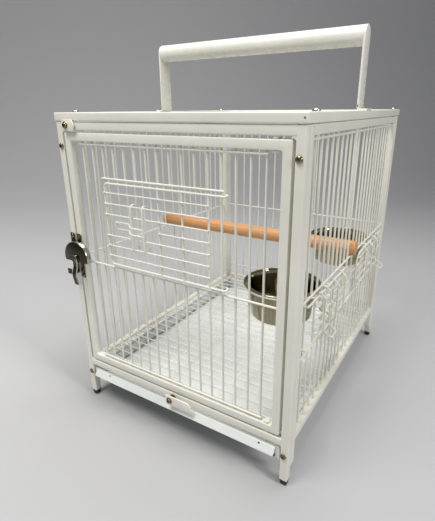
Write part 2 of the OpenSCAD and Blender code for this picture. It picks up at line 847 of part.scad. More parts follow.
module floor_grate() {
    x0 = tube + 3;
    x1 = cage_w - x0;
    y0 = tube + 3;
    y1 = cage_d - y0;
    z = runner_z1 + 0.05 + mesh_d / 2;
    pitch = (y1 - y0) / (grate_rows + 1);
    color(white) corner() {
        bent_wire([[x0, y0, z], [x1, y0, z], [x1, y1, z], [x0, y1, z], [x0, y0, z]], mesh_d);
        for (i = [1 : grate_rows]) rod([x0, y0 + i * pitch, z + mesh_d * weld],
                                       [x1, y0 + i * pitch, z + mesh_d * weld], mesh_d);
        for (k = [1, 2]) rod([x0 + k * (x1 - x0) / 3, y0, z],
                             [x0 + k * (x1 - x0) / 3, y1, z], mesh_d);
    }
}

module perch() {
    color(beech) corner() translate([-perch_out, cage_d / 2, perch_z]) rotate([0, 90, 0])
        cylinder(d = perch_d, h = cage_w + 2 * perch_out);
}

front_frame();
back_frame();
left_frame();
right_frame();
top_frame();
back_bars();
left_bars();
right_bars();
top_bars();
handle_tube();
handle_legs();
handle_bolts();
frame_screws();
top_screws();
top_spacers();
foot_caps();
hinge_pins();
door_frame();
door_grille();
access_door();
access_latch();
lock_base();
lock_cam();
lock_keeper();
lock_screws();
keeper_screws();
door_tab();
door_tab_screw();
tray_tab();
tray_tab_screw();
tray();
tray_runner_left();
tray_runner_right();
floor_grate();
perch();
front_feeder_door();
rear_feeder_door();
front_feeder_latch();
rear_feeder_latch();
front_cup();
rear_cup();
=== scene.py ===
"""Visual model of the parrot travel cage: every piece is built here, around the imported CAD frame.

Lengths are in millimetres in panel coordinates, which start at the bottom outer corner of the
front left leg, as in the CAD; make_piece() turns them into metres in the row frame.
"""
import math

import bmesh
import bpy
from mathutils import Matrix, Vector


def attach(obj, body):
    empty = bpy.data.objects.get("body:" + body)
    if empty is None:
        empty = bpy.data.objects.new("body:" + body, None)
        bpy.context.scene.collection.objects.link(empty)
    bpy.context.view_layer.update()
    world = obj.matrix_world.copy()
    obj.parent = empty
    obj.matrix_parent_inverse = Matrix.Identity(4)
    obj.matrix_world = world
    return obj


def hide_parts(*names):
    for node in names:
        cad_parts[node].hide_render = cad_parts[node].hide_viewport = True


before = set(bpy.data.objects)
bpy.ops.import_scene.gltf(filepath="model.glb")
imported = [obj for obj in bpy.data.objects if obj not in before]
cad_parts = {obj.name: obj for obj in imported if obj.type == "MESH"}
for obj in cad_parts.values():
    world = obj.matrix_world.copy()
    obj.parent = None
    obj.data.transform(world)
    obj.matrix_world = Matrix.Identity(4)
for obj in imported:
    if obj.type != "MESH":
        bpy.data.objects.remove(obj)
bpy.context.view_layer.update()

# ---------------------------------------------------------------- sizes, as in the CAD
CAGE_W, CAGE_D, FRAME_H, FOOT_H = 406.0, 506.0, 492.0, 10.0
TUBE, WALL = 12.0, 1.2
RAIL_Z, SIDE_RAIL_Z = 60.0, 57.0
TOP_OVER, TOP_Z = 1.5, 493.0
WIRE, THIN, CANE_WIRE = 3.2, 2.2, 2.8
WELD = 0.75
MID = TUBE / 2
RAIL_TOP = RAIL_Z + TUBE
NEAR_WIRE = 4.5

DOOR_X0, DOOR_X1, DOOR_Z0, DOOR_Z1 = 15.5, 390.5, 75.5, 476.5
HINGE_X = CAGE_W - 37
DOOR_BARS = 16
BAR_PITCH = (DOOR_X1 - DOOR_X0 - 2 * TUBE) / (DOOR_BARS + 1)
SILL_Z = MID_Z = 270.0

ACCESS_TOP, ACCESS_BOTTOM = 405.5, 277.5
ACCESS_H = ACCESS_TOP - ACCESS_BOTTOM
ACCESS_BAR0, ACCESS_BAR1 = 2, 12
ACCESS_COLS = (16, 59, 100)
ACCESS_ROWS, BOLT_ROW = 7, 3
LINTEL_Z = ACCESS_TOP + 6

SIDE_Y0, SIDE_Y1, SIDE_LEG = 12.5, 493.5, 20.0
SIDE_BARS = 10
PERCH_D, PERCH_OUT = 24.0, 4.0
SIDE_PITCH = (CAGE_D / 2 - (PERCH_D + WIRE + 1.5) / 2 - SIDE_Y0 - TUBE) / SIDE_BARS
PERCH_Z = MID_Z + WIRE / 2 + PERCH_D / 2

LEAF_OFF = 6.4
ROW_Y = -LEAF_OFF - WIRE * WELD
BOLT_IN = WIRE / 2 + THIN / 2 + 0.5
PAST_EDGE = 1.5

FEEDER_SILL, FEEDER_TOP, FEEDER_BOTTOM = 186.0, 263.0, 197.0
FEEDER_H = FEEDER_TOP - FEEDER_BOTTOM
FEEDER_W, FEEDER_X = 180.0, CAGE_W - MID
FEEDER_COLS = (20, 58, 104, 150)
FEEDER_ROWS = (20, 35, 59)
HOLDER_CANES, LATCH_CANES = (98, 136), (39, 63)
FIRST_CUT, LAST_CUT = 2, 9
CANE_OUT, GRIP_OUT, BOLT_TIP = 9.0, 12.0, 177.0
BOLT_ZS = (13, 27)
CUP_R, CUP_H, CUP_OUT, CUP_ALONG, RING_Z = 59.0, 52.0, 61.5, 63.5, 256.0

TRAY_Z, TRAY_WALL, SHEET = 31.7, 19.0, 1.2
TRAY_X0, TRAY_X1, TRAY_FRONT, TRAY_BACK = 14.2, 391.8, 3.0, 490.0
LIP_TOP, LIP_BOTTOM = 54.0, 41.0
RUNNER_Z0, RUNNER_Z1, RUNNER_W = 30.2, 64.0, 10.0
GRATE_ROWS = 23

GRIP_D, GRIP_Z, STRAP_X, STRAP_T = 29.0, 608.0, 11.5, 3.0
LOCK_X, LOCK_Z, LOCK_SCREW_UP, CAM_R = 21.5, 277.0, 34.0, 28.0
CAM_BACK, CAM_THICK, CAM_SKIRT = -4.6, 9.0, 6.0
TAB_W, TAB_T = 17.0, 2.0
TOP_SCREW_YS = (36.0, CAGE_D - 36)
HANDLE_BOLT_YS = (CAGE_D / 2 - 8, CAGE_D / 2 + 8)

PANEL_TO_ROW = Matrix.Translation((-CAGE_W / 2, -CAGE_D / 2, FOOT_H))


def bar_x(i):
    """Distance from the left of the door's bar i."""
    return DOOR_X0 + TUBE + (i + 1) * BAR_PITCH


def side_bar_y(k):
    """Distance from the front of the side panels' bar k, counted from the front stile."""
    return SIDE_Y0 + TUBE + k * SIDE_PITCH


ACCESS_X1 = bar_x(ACCESS_BAR1)
ACCESS_W = ACCESS_X1 - bar_x(ACCESS_BAR0) - 3.4
FEEDER_HINGE_Y = side_bar_y(FIRST_CUT - 1)


# ---------------------------------------------------------------- materials
class Nodes:
    """A material's node tree, with the few joins that the materials below share."""

    def __init__(self, name):
        self.material = bpy.data.materials.new(name)
        self.material.use_nodes = True
        self.tree = self.material.node_tree
        self.shader = self.tree.nodes["Principled BSDF"]
        self.coords = self.add("ShaderNodeTexCoord").outputs["Object"]

    def add(self, kind, **settings):
        node = self.tree.nodes.new(kind)
        for key, value in settings.items():
            setattr(node, key, value)
        return node

    def link(self, source, target):
        self.tree.links.new(source, target)

    def stretch(self, scale):
        """Object coordinates scaled along each axis."""
        node = self.add("ShaderNodeMapping")
        node.inputs["Scale"].default_value = scale
        self.link(self.coords, node.inputs["Vector"])
        return node.outputs["Vector"]

    def noise(self, scale, detail=3.0, vector=None):
        node = self.add("ShaderNodeTexNoise")
        node.inputs["Scale"].default_value = scale
        node.inputs["Detail"].default_value = detail
        self.link(vector or self.coords, node.inputs["Vector"])
        return node.outputs["Fac"]

    def span(self, value, low, high, start=0.3, end=0.7):
        """value's range start..end, spread over low..high."""
        node = self.add("ShaderNodeMapRange")
        node.inputs["From Min"].default_value = start
        node.inputs["From Max"].default_value = end
        node.inputs["To Min"].default_value = low
        node.inputs["To Max"].default_value = high
        self.link(value, node.inputs["Value"])
        return node.outputs["Result"]

    def mix(self, factor, first, second):
        """The colour between first and second; each is a colour or a socket."""
        node = self.add("ShaderNodeMix", data_type="RGBA")
        self.link(factor, node.inputs["Factor"])
        for key, colour in (("A", first), ("B", second)):
            socket = [s for s in node.inputs if s.name == key and s.type == "RGBA"][0]
            if isinstance(colour, tuple):
                socket.default_value = (*colour, 1.0)
            else:
                self.link(colour, socket)
        return [s for s in node.outputs if s.type == "RGBA"][0]

    def maths(self, operation, *values):
        node = self.add("ShaderNodeMath", operation=operation)
        for socket, value in zip(node.inputs, values):
            if isinstance(value, (int, float)):
                socket.default_value = value
            else:
                self.link(value, socket)
        return node.outputs["Value"]

    def set(self, **values):
        """Sets the shader's inputs, named with _ for a space, to numbers, colours or sockets."""
        for key, value in values.items():
            socket = self.shader.inputs[key.replace("_", " ")]
            if isinstance(value, tuple):
                socket.default_value = (*value, 1.0)
            elif isinstance(value, (int, float)):
                socket.default_value = value
            else:
                self.link(value, socket)

    def bump(self, height, strength, distance, below=None):
        node = self.add("ShaderNodeBump")
        node.inputs["Strength"].default_value = strength
        node.inputs["Distance"].default_value = distance
        self.link(height, node.inputs["Height"])
        if below:
            self.link(below, node.inputs["Normal"])
        return node.outputs["Normal"]


def powder_coat(name, colour, shade, roughness=(0.30, 0.42)):
    """Sprayed enamel: soft patches of shade, a fine orange peel and a thin clear gloss."""
    m = Nodes(name)
    m.set(
        Base_Color=m.mix(m.span(m.noise(14.0), 0.0, 1.0), shade, colour),
        Roughness=m.span(m.noise(90.0), *roughness),
        Coat_Weight=0.25,
        Coat_Roughness=0.18,
        Normal=m.bump(m.noise(620.0, 2.0), 0.16, 0.0003,
                      m.bump(m.noise(160.0, 1.0), 0.10, 0.0008)),
    )
    return m.material


def metal(name, colour, shade, roughness, tarnish=55.0, bump=0.05, front=None):
    """Metal with faint darker patches and fine scratches; front is a painted dark reflection, the
    colour mixed into what faces -y.
    """
    m = Nodes(name)
    scratches = m.noise(240.0, 6.0, m.stretch((1.0, 6.0, 9.0)))
    tarnish_and_painted_reflection = m.mix(m.span(m.noise(tarnish, 5.0), 0.0, 1.0), shade, colour)
    # painted dark reflection: faces that look towards -y take the front colour
    if front:
        normal = m.add("ShaderNodeSeparateXYZ")
        m.link(m.coords.node.outputs["Normal"], normal.inputs["Vector"])
        tarnish_and_painted_reflection = m.mix(m.span(normal.outputs[1], 1.0, 0.0, -0.98, -0.75), tarnish_and_painted_reflection, front)
    m.set(
        Metallic=1.0,
        Base_Color=tarnish_and_painted_reflection,
        Roughness=m.span(scratches, *roughness),
        Normal=m.bump(scratches, bump, 0.0002),
    )
    return m.material


def turned_steel(name):
    """Pressed stainless steel with the faint rings of its polishing round the z axis."""
    m = Nodes(name)
    xyz = m.add("ShaderNodeSeparateXYZ")
    m.link(m.coords, xyz.inputs["Vector"])
    x, y, z = xyz.outputs
    radius = m.maths("SQRT", m.maths("ADD", m.maths("MULTIPLY", x, x), m.maths("MULTIPLY", y, y)))
    rings = m.maths("SINE", m.maths("MULTIPLY", m.maths("ADD", radius, z), 5200.0))
    m.set(
        Metallic=1.0,
        Base_Color=m.mix(m.span(m.noise(30.0, 4.0), 0.0, 1.0), (0.26, 0.235, 0.16),
                         (0.42, 0.385, 0.28)),
        Roughness=m.span(m.noise(120.0, 4.0), 0.04, 0.09),
        Normal=m.bump(rings, 0.03, 0.0002),
    )
    return m.material


def beech_wood(name):
    """Turned beech: growth rings round an off-centre pith, long fibres and short dark flecks."""
    m = Nodes(name)
    fibres = m.noise(34.0, 8.0, m.stretch((0.35, 12.0, 12.0)))
    flecks = m.noise(60.0, 4.0, m.stretch((1.6, 22.0, 22.0)))
    xyz = m.add("ShaderNodeSeparateXYZ")
    m.link(m.coords, xyz.inputs["Vector"])
    across = m.maths("SUBTRACT", xyz.outputs[1], 0.020)
    up = m.maths("SUBTRACT", xyz.outputs[2], 0.270)
    radius = m.maths("SQRT", m.maths("ADD", m.maths("MULTIPLY", across, across),
                                     m.maths("MULTIPLY", up, up)))
    wander = m.maths("MULTIPLY", m.noise(6.0, 2.0, m.stretch((0.5, 3.0, 3.0))), 9.0)
    rings = m.maths("SINE", m.maths("ADD", m.maths("MULTIPLY", radius, 2600.0), wander))
    early = m.mix(m.span(rings, 0.0, 1.0, -1.0, 1.0), (0.60, 0.30, 0.125), (0.50, 0.23, 0.085))
    grained = m.mix(m.span(fibres, 0.0, 0.65), early, (0.68, 0.38, 0.18))
    m.set(
        Base_Color=m.mix(m.span(flecks, 0.0, 0.5, 0.62, 0.78), grained, (0.38, 0.18, 0.07)),
        Roughness=m.span(fibres, 0.42, 0.56),
        Normal=m.bump(fibres, 0.18, 0.0004),
    )
    return m.material


def moulded_plastic(name):
    m = Nodes(name)
    m.set(
        Base_Color=m.mix(m.span(m.noise(150.0, 4.0), 0.0, 1.0), (0.010, 0.010, 0.011),
                         (0.028, 0.028, 0.030)),
        Roughness=m.span(m.noise(300.0), 0.38, 0.55),
        Normal=m.bump(m.noise(900.0, 2.0), 0.2, 0.0002),
    )
    return m.material


def plain_backdrop(name):
    m = Nodes(name)
    m.set(Base_Color=(0.56, 0.56, 0.565), Roughness=m.span(m.noise(3.0), 0.80, 0.90))
    return m.material


MATERIALS = {
    "white_powder_coat": powder_coat("powder_coat", (0.80, 0.785, 0.70), (0.74, 0.725, 0.635)),
    "white_tray": powder_coat("tray_coat", (0.75, 0.77, 0.745), (0.69, 0.715, 0.695)),
    # the grate's coat is the cage's white enamel painted lighter, painted light that makes up for
    # the dimmer light inside the cage
    "grate_coat_painted_lighter": powder_coat("grate_coat_painted_lighter", (0.86, 0.855, 0.80), (0.80, 0.80, 0.75)),
    "grip_coat": powder_coat("grip_coat", (0.80, 0.785, 0.71), (0.74, 0.725, 0.65), (0.24, 0.32)),
    "beech": beech_wood("beech"),
    "stainless": turned_steel("stainless"),
    # chrome: its front colour is a painted dark reflection on the faces that look to the front
    "chrome": metal("chrome", (0.62, 0.60, 0.53), (0.42, 0.40, 0.34), (0.06, 0.15),
                    front=(0.055, 0.045, 0.03)),
    "brassed_steel": metal("brassed_steel", (0.36, 0.29, 0.18), (0.14, 0.105, 0.06), (0.08, 0.18)),
    "plated_steel": metal("plated_steel", (0.66, 0.65, 0.62), (0.50, 0.49, 0.46), (0.20, 0.34)),
    "black_plastic": moulded_plastic("black_plastic"),
}


# ---------------------------------------------------------------- mesh tools
def unit(v):
    return v.normalized()


def rounded(path, radius, step=18.0):
    """The path with each inner corner turned into an arc of the given radius, where it fits."""
    path = [Vector(p) for p in path]
    out = [path[0]]
    for a, b, c in zip(path, path[1:], path[2:]):
        into, onward = unit(b - a), unit(c - b)
        turn = into.angle(onward)
        if turn < 0.02:
            out.append(b)
            continue
        reach = min(radius * math.tan(turn / 2), 0.49 * (b - a).length, 0.49 * (c - b).length)
        r = reach / math.tan(turn / 2)
        start = b - into * reach
        side = unit(onward - into * onward.dot(into))
        steps = max(2, math.ceil(math.degrees(turn) / step))
        for i in range(steps + 1):
            t = turn * i / steps
            out.append(start + into * (r * math.sin(t)) + side * (r * (1 - math.cos(t))))
    out.append(path[-1])
    return out


def sweep(bm, path, profile, closed=False, ends=((0.0, 1.0),)):
    """Sweeps a closed 2-D profile along a path, mitred at its corners.

    Each pair in ends is a ring at an end of an open path: how far it stands inside the end, and
    its size. The first pair is the outermost ring.
    """
    path = [Vector(p) for p in path]
    count = len(path)
    legs = [unit(path[(i + 1) % count] - path[i]) for i in range(count if closed else count - 1)]
    lead = legs[0]
    guide = Vector((0, 0, 1)) if abs(lead.z) < 0.9 else Vector((1, 0, 0))
    u = unit(guide - lead * guide.dot(lead))
    v = lead.cross(u)
    rings = []

    def ring(centre, scale=1.0, cut=None):
        points = [u * (p[0] * scale) + v * (p[1] * scale) for p in profile]
        if cut:
            points = [p - direction * (p.dot(cut) / direction.dot(cut)) for p in points]
        rings.append([bm.verts.new(centre + p) for p in points])

    direction = lead
    if closed:
        ring(path[0], cut=legs[-1] + legs[0])
    else:
        for inset, scale in ends:
            ring(path[0] + lead * inset, scale)
    for i in range(1, count if closed else count - 1):
        before, after = legs[i - 1], legs[i % len(legs)]
        direction = before
        ring(path[i], cut=before + after)
        turn = before.rotation_difference(after)
        u, v = turn @ u, turn @ v
        direction = after
    if closed:
        last, first = rings[-1], rings[0]
        offset = min(range(len(profile)), key=lambda k: (last[0].co + direction * (
            (first[0].co - last[0].co).dot(direction)) - first[k].co).length)
        rings.append(first[offset:] + first[:offset])
    else:
        for inset, scale in reversed(ends):
            ring(path[-1] - legs[-1] * inset, scale)
    size = len(profile)
    for a, b in zip(rings, rings[1:]):
        for i in range(size):
            j = (i + 1) % size
            bm.faces.new((a[i], a[j], b[j], b[i]))
    if not closed:
        bm.faces.new(list(reversed(rings[0])))
        bm.faces.new(rings[-1])


def circle(d, sides):
    return [(d / 2 * math.cos(2 * math.pi * i / sides), d / 2 * math.sin(2 * math.pi * i / sides))
            for i in range(sides)]


def wire(bm, path, d=WIRE, bend=None, cut_ends=True):
    """A bent wire. A free end is dressed round; the end of a wire welded into a tube isn't."""
    r = d / 2
    dressed = ((0.0, 0.45), (0.12 * r, 0.78), (0.45 * r, 0.97), (0.8 * r, 1.0))
    shape = rounded(path, bend or 1.6 * d) if len(path) > 2 else path
    sweep(bm, shape, circle(d, 14 if d > 3 else 10), ends=dressed if cut_ends else ((0.0, 1.0),))


def bead(bm, centre, size, along):
    """A small weld bead, drawn out along a direction."""
    made = bmesh.ops.create_icosphere(bm, subdivisions=2, radius=0.5)["verts"]
    axis = Vector(along).normalized()
    turn = Vector((1, 0, 0)).rotation_difference(axis).to_matrix().to_4x4()
    scale = Matrix.Diagonal((size[0], size[1], size[2], 1.0))
    bmesh.ops.transform(bm, matrix=Matrix.Translation(centre) @ turn @ scale, verts=made)


def square_profile(size, radius, steps=4):
    """A square with rounded corners; a sweep puts its first axis up."""
    out = []
    h = size / 2 - radius
    for k, (sx, sy) in enumerate(((1, 1), (-1, 1), (-1, -1), (1, -1))):
        for i in range(steps + 1):
            a = math.radians(90 * k + 90 * i / steps)
            out.append((sx * h + radius * math.cos(a), sy * h + radius * math.sin(a)))
    return out


def square_tube(bm, path):
    """A run of square tube whose open ends show the tube's wall."""
    bore = 1 - 2 * WALL / TUBE
    sweep(bm, path, square_profile(TUBE, 1.5), ends=((6.0, bore), (0.0, bore), (0.0, 1.0)))


def lathe(bm, profile, steps=48, matrix=None):
    """Turns a profile of (radius, height) pairs round the z axis. A radius of 0 closes it."""
    matrix = matrix or Matrix()
    rings = []
    for r, h in profile:
        if r < 1e-6:
            rings.append([bm.verts.new(matrix @ Vector((0, 0, h)))])
        else:
            rings.append([bm.verts.new(matrix @ Vector((r * math.cos(t), r * math.sin(t), h)))
                          for t in (2 * math.pi * i / steps for i in range(steps))])
    for a, b in zip(rings, rings[1:]):
        for i in range(steps):
            j = (i + 1) % steps
            corners = [a[i % len(a)], a[j % len(a)], b[j % len(b)], b[i % len(b)]]
            face = []
            for vert in corners:
                if vert not in face:
                    face.append(vert)
            bm.faces.new(face)


def arc(centre, radius, start, end, steps):
    """Points on an arc, from one angle to another in degrees."""
    return [(centre[0] + radius * math.cos(math.radians(start + (end - start) * i / steps)),
             centre[1] + radius * math.sin(math.radians(start + (end - start) * i / steps)))
            for i in range(steps + 1)]


def plate(bm, outline, thickness, matrix, bevel=0.5, segments=2):
    """A flat plate of any outline, with eased edges. It starts at z = 0 and rises along +z."""
    part = bmesh.new()
    base = part.faces.new([part.verts.new((x, y, 0)) for x, y in outline])
    top = bmesh.ops.extrude_face_region(part, geom=[base])
    bmesh.ops.translate(part, verts=[v for v in top["geom"] if isinstance(v, bmesh.types.BMVert)],
                        vec=(0, 0, thickness))
    bmesh.ops.recalc_face_normals(part, faces=part.faces)
    rims = [e for e in part.edges if abs(e.verts[0].co.z - e.verts[1].co.z) < 1e-6]
    if bevel:
        bmesh.ops.bevel(part, geom=rims, offset=bevel, segments=segments, profile=0.5,
                        affect="EDGES", clamp_overlap=True)
    bmesh.ops.transform(part, matrix=matrix, verts=part.verts)
    absorb(bm, part)


def absorb(bm, part):
    """Moves a finished part into a larger mesh."""
    mesh = bpy.data.meshes.new("part")
    part.to_mesh(mesh)
    part.free()
    bm.from_mesh(mesh)
    bpy.data.meshes.remove(mesh)


def sheet(bm, path, thickness, run, bend=1.6):
    """Sheet metal folded along a path. run is the pair of vectors that the fold lines span."""
    start, end = (Vector(v) for v in run)
    along = unit(end - start)
    line = rounded(path, bend, 22.0)
    legs = [unit(b - a) for a, b in zip(line, line[1:])]
    edges = []
    for i, point in enumerate(line):
        before, after = legs[max(i - 1, 0)], legs[min(i, len(legs) - 1)]
        middle = unit(before + after)
        normal = unit(along.cross(middle)) * (thickness / 2 / max(middle.dot(before), 0.5))
        edges.append((point + normal, point - normal))
    outline = [e[0] for e in edges] + [e[1] for e in reversed(edges)]
    count = len(line)
    rings = [[bm.verts.new(p + offset) for p in outline] for offset in (start, end)]
    total = len(outline)
    for i in range(total):
        j = (i + 1) % total
        bm.faces.new((rings[0][i], rings[0][j], rings[1][j], rings[1][i]))
    for ring in rings:
        for i in range(count - 1):
            bm.faces.new((ring[i], ring[i + 1], ring[total - 2 - i], ring[total - 1 - i]))


def loft_square(bm, stations, centre):
    """Stacks rounded squares, each (height, size, corner radius), into a closed solid."""
    rings = []
    for z, size, radius in stations:
        rings.append([bm.verts.new(Vector(centre) + Vector((x, y, z)))
                      for x, y in square_profile(size, radius, 3)])
    for a, b in zip(rings, rings[1:]):
        for i in range(len(a)):
            j = (i + 1) % len(a)
            bm.faces.new((a[i], a[j], b[j], b[i]))
    bm.faces.new(list(reversed(rings[0])))
    bm.faces.new(rings[-1])


def carve(solid, cutter):
    """The closed mesh solid with the closed mesh cutter taken out of it. Both are used up."""
    objects = []
    for part in (solid, cutter):
        bmesh.ops.recalc_face_normals(part, faces=part.faces)
        mesh = bpy.data.meshes.new("part")
        part.to_mesh(mesh)
        part.free()
        objects.append(bpy.data.objects.new("part", mesh))
        bpy.context.scene.collection.objects.link(objects[-1])
    cut = objects[0].modifiers.new("cut", "BOOLEAN")
    cut.object = objects[1]
    cut.solver = "EXACT"
    cut.use_self = True
    graph = bpy.context.evaluated_depsgraph_get()
    out = bmesh.new()
    out.from_object(objects[0], graph)
    for obj in objects:
        mesh = obj.data
        bpy.data.objects.remove(obj)
        bpy.data.meshes.remove(mesh)
    return out


def make_piece(bm, name, material, body, nodes, sharp=35.0, about=None):
    """Turns a mesh in panel millimetres into a piece that rides a body and stands for CAD nodes.

    about is the panel point that becomes the object's origin, for a material that needs one.
    """
    bmesh.ops.recalc_face_normals(bm, faces=bm.faces)
    place = Matrix.Translation((PANEL_TO_ROW @ Vector(about)) / 1000) if about else Matrix()
    to_local = place.inverted() @ Matrix.Scale(0.001, 4) @ PANEL_TO_ROW
    bmesh.ops.transform(bm, matrix=to_local, verts=bm.verts)
    mesh = bpy.data.meshes.new(name)
    bm.to_mesh(mesh)
    bm.free()
    mesh.materials.append(MATERIALS[material])
    mesh.shade_smooth()
    mesh.set_sharp_from_angle(angle=math.radians(sharp))
    obj = bpy.data.objects.new(name, mesh)
    bpy.context.scene.collection.objects.link(obj)
    obj.matrix_world = place
    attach(obj, body)
    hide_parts(*nodes)
    return obj


# ---------------------------------------------------------------- screws
def screw_head(d, h):
    """A pan head with a cross recess and a short shank; the head rises along +z from z = 0."""
    head = bmesh.new()
    r = d / 2
    shell = [(0, -6), (1.9, -6), (1.9, 0), (r * 0.94, 0), (r, 0.25), (r, 0.32 * h)]
    shell += [(r * math.cos(math.radians(a)), 0.32 * h + 0.68 * h * math.sin(math.radians(a)))
              for a in (18, 36, 52, 66, 78)]
    lathe(head, shell + [(0, h)], 32)
    cross = bmesh.new()
    for turn in (0, 90):
        size = Matrix.Diagonal((d * 0.54, d * 0.14, h * 1.2, 1.0))
        lift = Matrix.Translation((0, 0, h * 1.05))
        bmesh.ops.create_cube(cross, size=1.0,
                              matrix=Matrix.Rotation(math.radians(turn), 4, "Z") @ lift @ size)
    made = carve(head, cross)
    mesh = bpy.data.meshes.new("screw")
    made.to_mesh(mesh)
    made.free()
    return mesh


def add_copies(bm, mesh, matrices):
    for matrix in matrices:
        known = set(bm.verts)
        bm.from_mesh(mesh)
        bmesh.ops.transform(bm, matrix=matrix, verts=[v for v in bm.verts if v not in known])


def facing(point, direction, turn=0.0):
    """A placement whose +z points along a direction, turned about it by an angle in degrees."""
    aim = Vector((0, 0, 1)).rotation_difference(Vector(direction)).to_matrix().to_4x4()
    return Matrix.Translation(point) @ aim @ Matrix.Rotation(math.radians(turn), 4, "Z")


def washer(bm, point, direction, outer, inner, thickness):
    lathe(bm, [(inner, 0), (outer - 0.3, 0), (outer, 0.3), (outer, thickness - 0.3),
               (outer - 0.3, thickness), (inner, thickness), (inner, 0)], 32,
          facing(point, direction))


FRONT, BACK, UP = (0, -1, 0), (0, 1, 0), (0, 0, 1)
PAN_8, PAN_75, PAN_9 = screw_head(8.8, 3.2), screw_head(7.5, 2.2), screw_head(9.6, 3.8)

frame_screws = bmesh.new()
turns = (12, 57, -20, 33, 70, 5, 41, -8)
spots = [(x, y, z) for y in (0, CAGE_D) for x in (MID + 1, CAGE_W - MID - 1) for z in (44, 456)]
add_copies(frame_screws, PAN_8,
           [facing(p, BACK if p[1] else FRONT, t) for p, t in zip(spots, turns)])
make_piece(frame_screws, "frame_screw_heads", "brassed_steel", "cage", ["frame_screws"])

top_spots = [(x, y, TOP_Z + TUBE) for x in (MID - TOP_OVER, CAGE_W - MID + TOP_OVER)
             for y in TOP_SCREW_YS]
top_screws = bmesh.new()
add_copies(top_screws, PAN_9, [facing(p, UP, 25 * i) for i, p in enumerate(top_spots)])
make_piece(top_screws, "top_screw_heads", "plated_steel", "cage", ["top_screws"])

spacers = bmesh.new()
for x, y, z in top_spots:
    washer(spacers, (x, y, TOP_Z - 1), UP, 5, 2.1, 1)
make_piece(spacers, "top_spacer_washers", "plated_steel", "cage", ["top_spacers"])

bolts = bmesh.new()
bolt_spots = [(x, y, TOP_Z + TUBE + 2.6) for x in (MID - TOP_OVER, CAGE_W - MID + TOP_OVER)
              for y in HANDLE_BOLT_YS]
add_copies(bolts, PAN_75, [facing(p, UP, 40 * i) for i, p in enumerate(bolt_spots)])
make_piece(bolts, "handle_bolt_heads", "brassed_steel", "cage", ["handle_bolts"])


# ---------------------------------------------------------------- square-tube frames
def weld_seam(bm, a, b, size=1.5):
    """A ground weld that fills the corner where two tubes meet, from a to b."""
    a, b = Vector(a), Vector(b)
    count = max(2, round((b - a).length / 1.8))
    for i in range(count):
        spot = a.lerp(b, (i + 0.5) / count)
        bead(bm, spot, ((b - a).length / count * 1.7, size, size), b - a)


def end_frame(bm, y):
    """A post at each side and two rails, at the front or the back."""
    for x in (MID, CAGE_W - MID):
        square_tube(bm, [(x, y, 0), (x, y, FRAME_H)])
    for z in (RAIL_Z + MID, FRAME_H - MID):
        sweep(bm, [(TUBE - 1, y, z), (CAGE_W - TUBE + 1, y, z)], square_profile(TUBE, 1.5))
        for x in (TUBE, CAGE_W - TUBE):
            for dz in (-MID, MID):
                weld_seam(bm, (x, y - MID + 1, z + dz), (x, y + MID - 1, z + dz))


front = bmesh.new()
end_frame(front, MID)
for side in (0, 1):
    corner = Vector((CAGE_W - TUBE + 0.5 if side else TUBE - 0.5, TUBE - 0.6,
                     FRAME_H - TUBE + 0.5))
    leg = -5.6 if side else 5.6
    plate(front, [(0, 0), (leg, 0), (0, -5.6)], TUBE - 1.2,
          Matrix.Translation(corner) @ Matrix.Rotation(math.radians(90), 4, "X"), 0.4)
make_piece(front, "front_tube_frame", "white_powder_coat", "cage", ["front_frame"])

back = bmesh.new()
end_frame(back, CAGE_D - MID)
make_piece(back, "back_tube_frame", "white_powder_coat", "cage", ["back_frame"])

for side, x in (("left", MID), ("right", CAGE_W - MID)):
    panel = bmesh.new()
    for y in (SIDE_Y0 + MID, SIDE_Y1 - MID):
        square_tube(panel, [(x, y, SIDE_LEG), (x, y, FRAME_H)])
    for z in (SIDE_RAIL_Z + MID, FRAME_H - MID):
        sweep(panel, [(x, SIDE_Y0 + TUBE - 1, z), (x, SIDE_Y1 - TUBE + 1, z)],
              square_profile(TUBE, 1.5))
        for y in (SIDE_Y0 + TUBE, SIDE_Y1 - TUBE):
            for dz in (-MID, MID):
                weld_seam(panel, (x - MID + 1, y, z + dz), (x + MID - 1, y, z + dz))
    make_piece(panel, f"{side}_tube_frame", "white_powder_coat", "cage", [f"{side}_frame"])


def round_rectangle(x0, x1, y0, y1, radius, steps=5):
    """A rectangle's outline with rounded corners."""
    corners = ((x1, y1, -1, -1), (x0, y1, 1, -1), (x0, y0, 1, 1), (x1, y0, -1, 1))
    out = []
    for k, (x, y, sx, sy) in enumerate(corners):
        out += arc((x + sx * radius, y + sy * radius), radius, 90 * k, 90 * k + 90, steps)
    return out


def mitred_frame(bm, x0, x1, y0, y1, outer_r, inner_r, to_panel, edge=1.5):
    """A closed frame of square tube, welded and ground at its corners.

    to_panel places a point (across, along, depth) whose depth runs through the tube.
    """
    outer = round_rectangle(x0, x1, y0, y1, outer_r)
    inner = round_rectangle(x0 + TUBE, x1 - TUBE, y0 + TUBE, y1 - TUBE, inner_r)
    turns = [math.radians(a) for a in (0, 22.5, 45, 67.5, 90)]
    ease = [(edge * (1 - math.sin(a)), edge * (1 - math.cos(a))) for a in turns]
    rings = []
    for a, b in zip(outer, inner):
        a, b = Vector(a), Vector(b)
        across, span = unit(b - a), (b - a).length
        section = [(t, d) for d, t in ease]
        section += [(span - t, d) for t, d in ease]
        section += [(span - t, TUBE - d) for d, t in ease]
        section += [(t, TUBE - d) for t, d in ease]
        rings.append([bm.verts.new(to_panel(*(a + across * t), d)) for t, d in section])
    for ring, after in zip(rings, rings[1:] + rings[:1]):
        for i in range(len(ring)):
            j = (i + 1) % len(ring)
            bm.faces.new((ring[i], ring[j], after[j], after[i]))


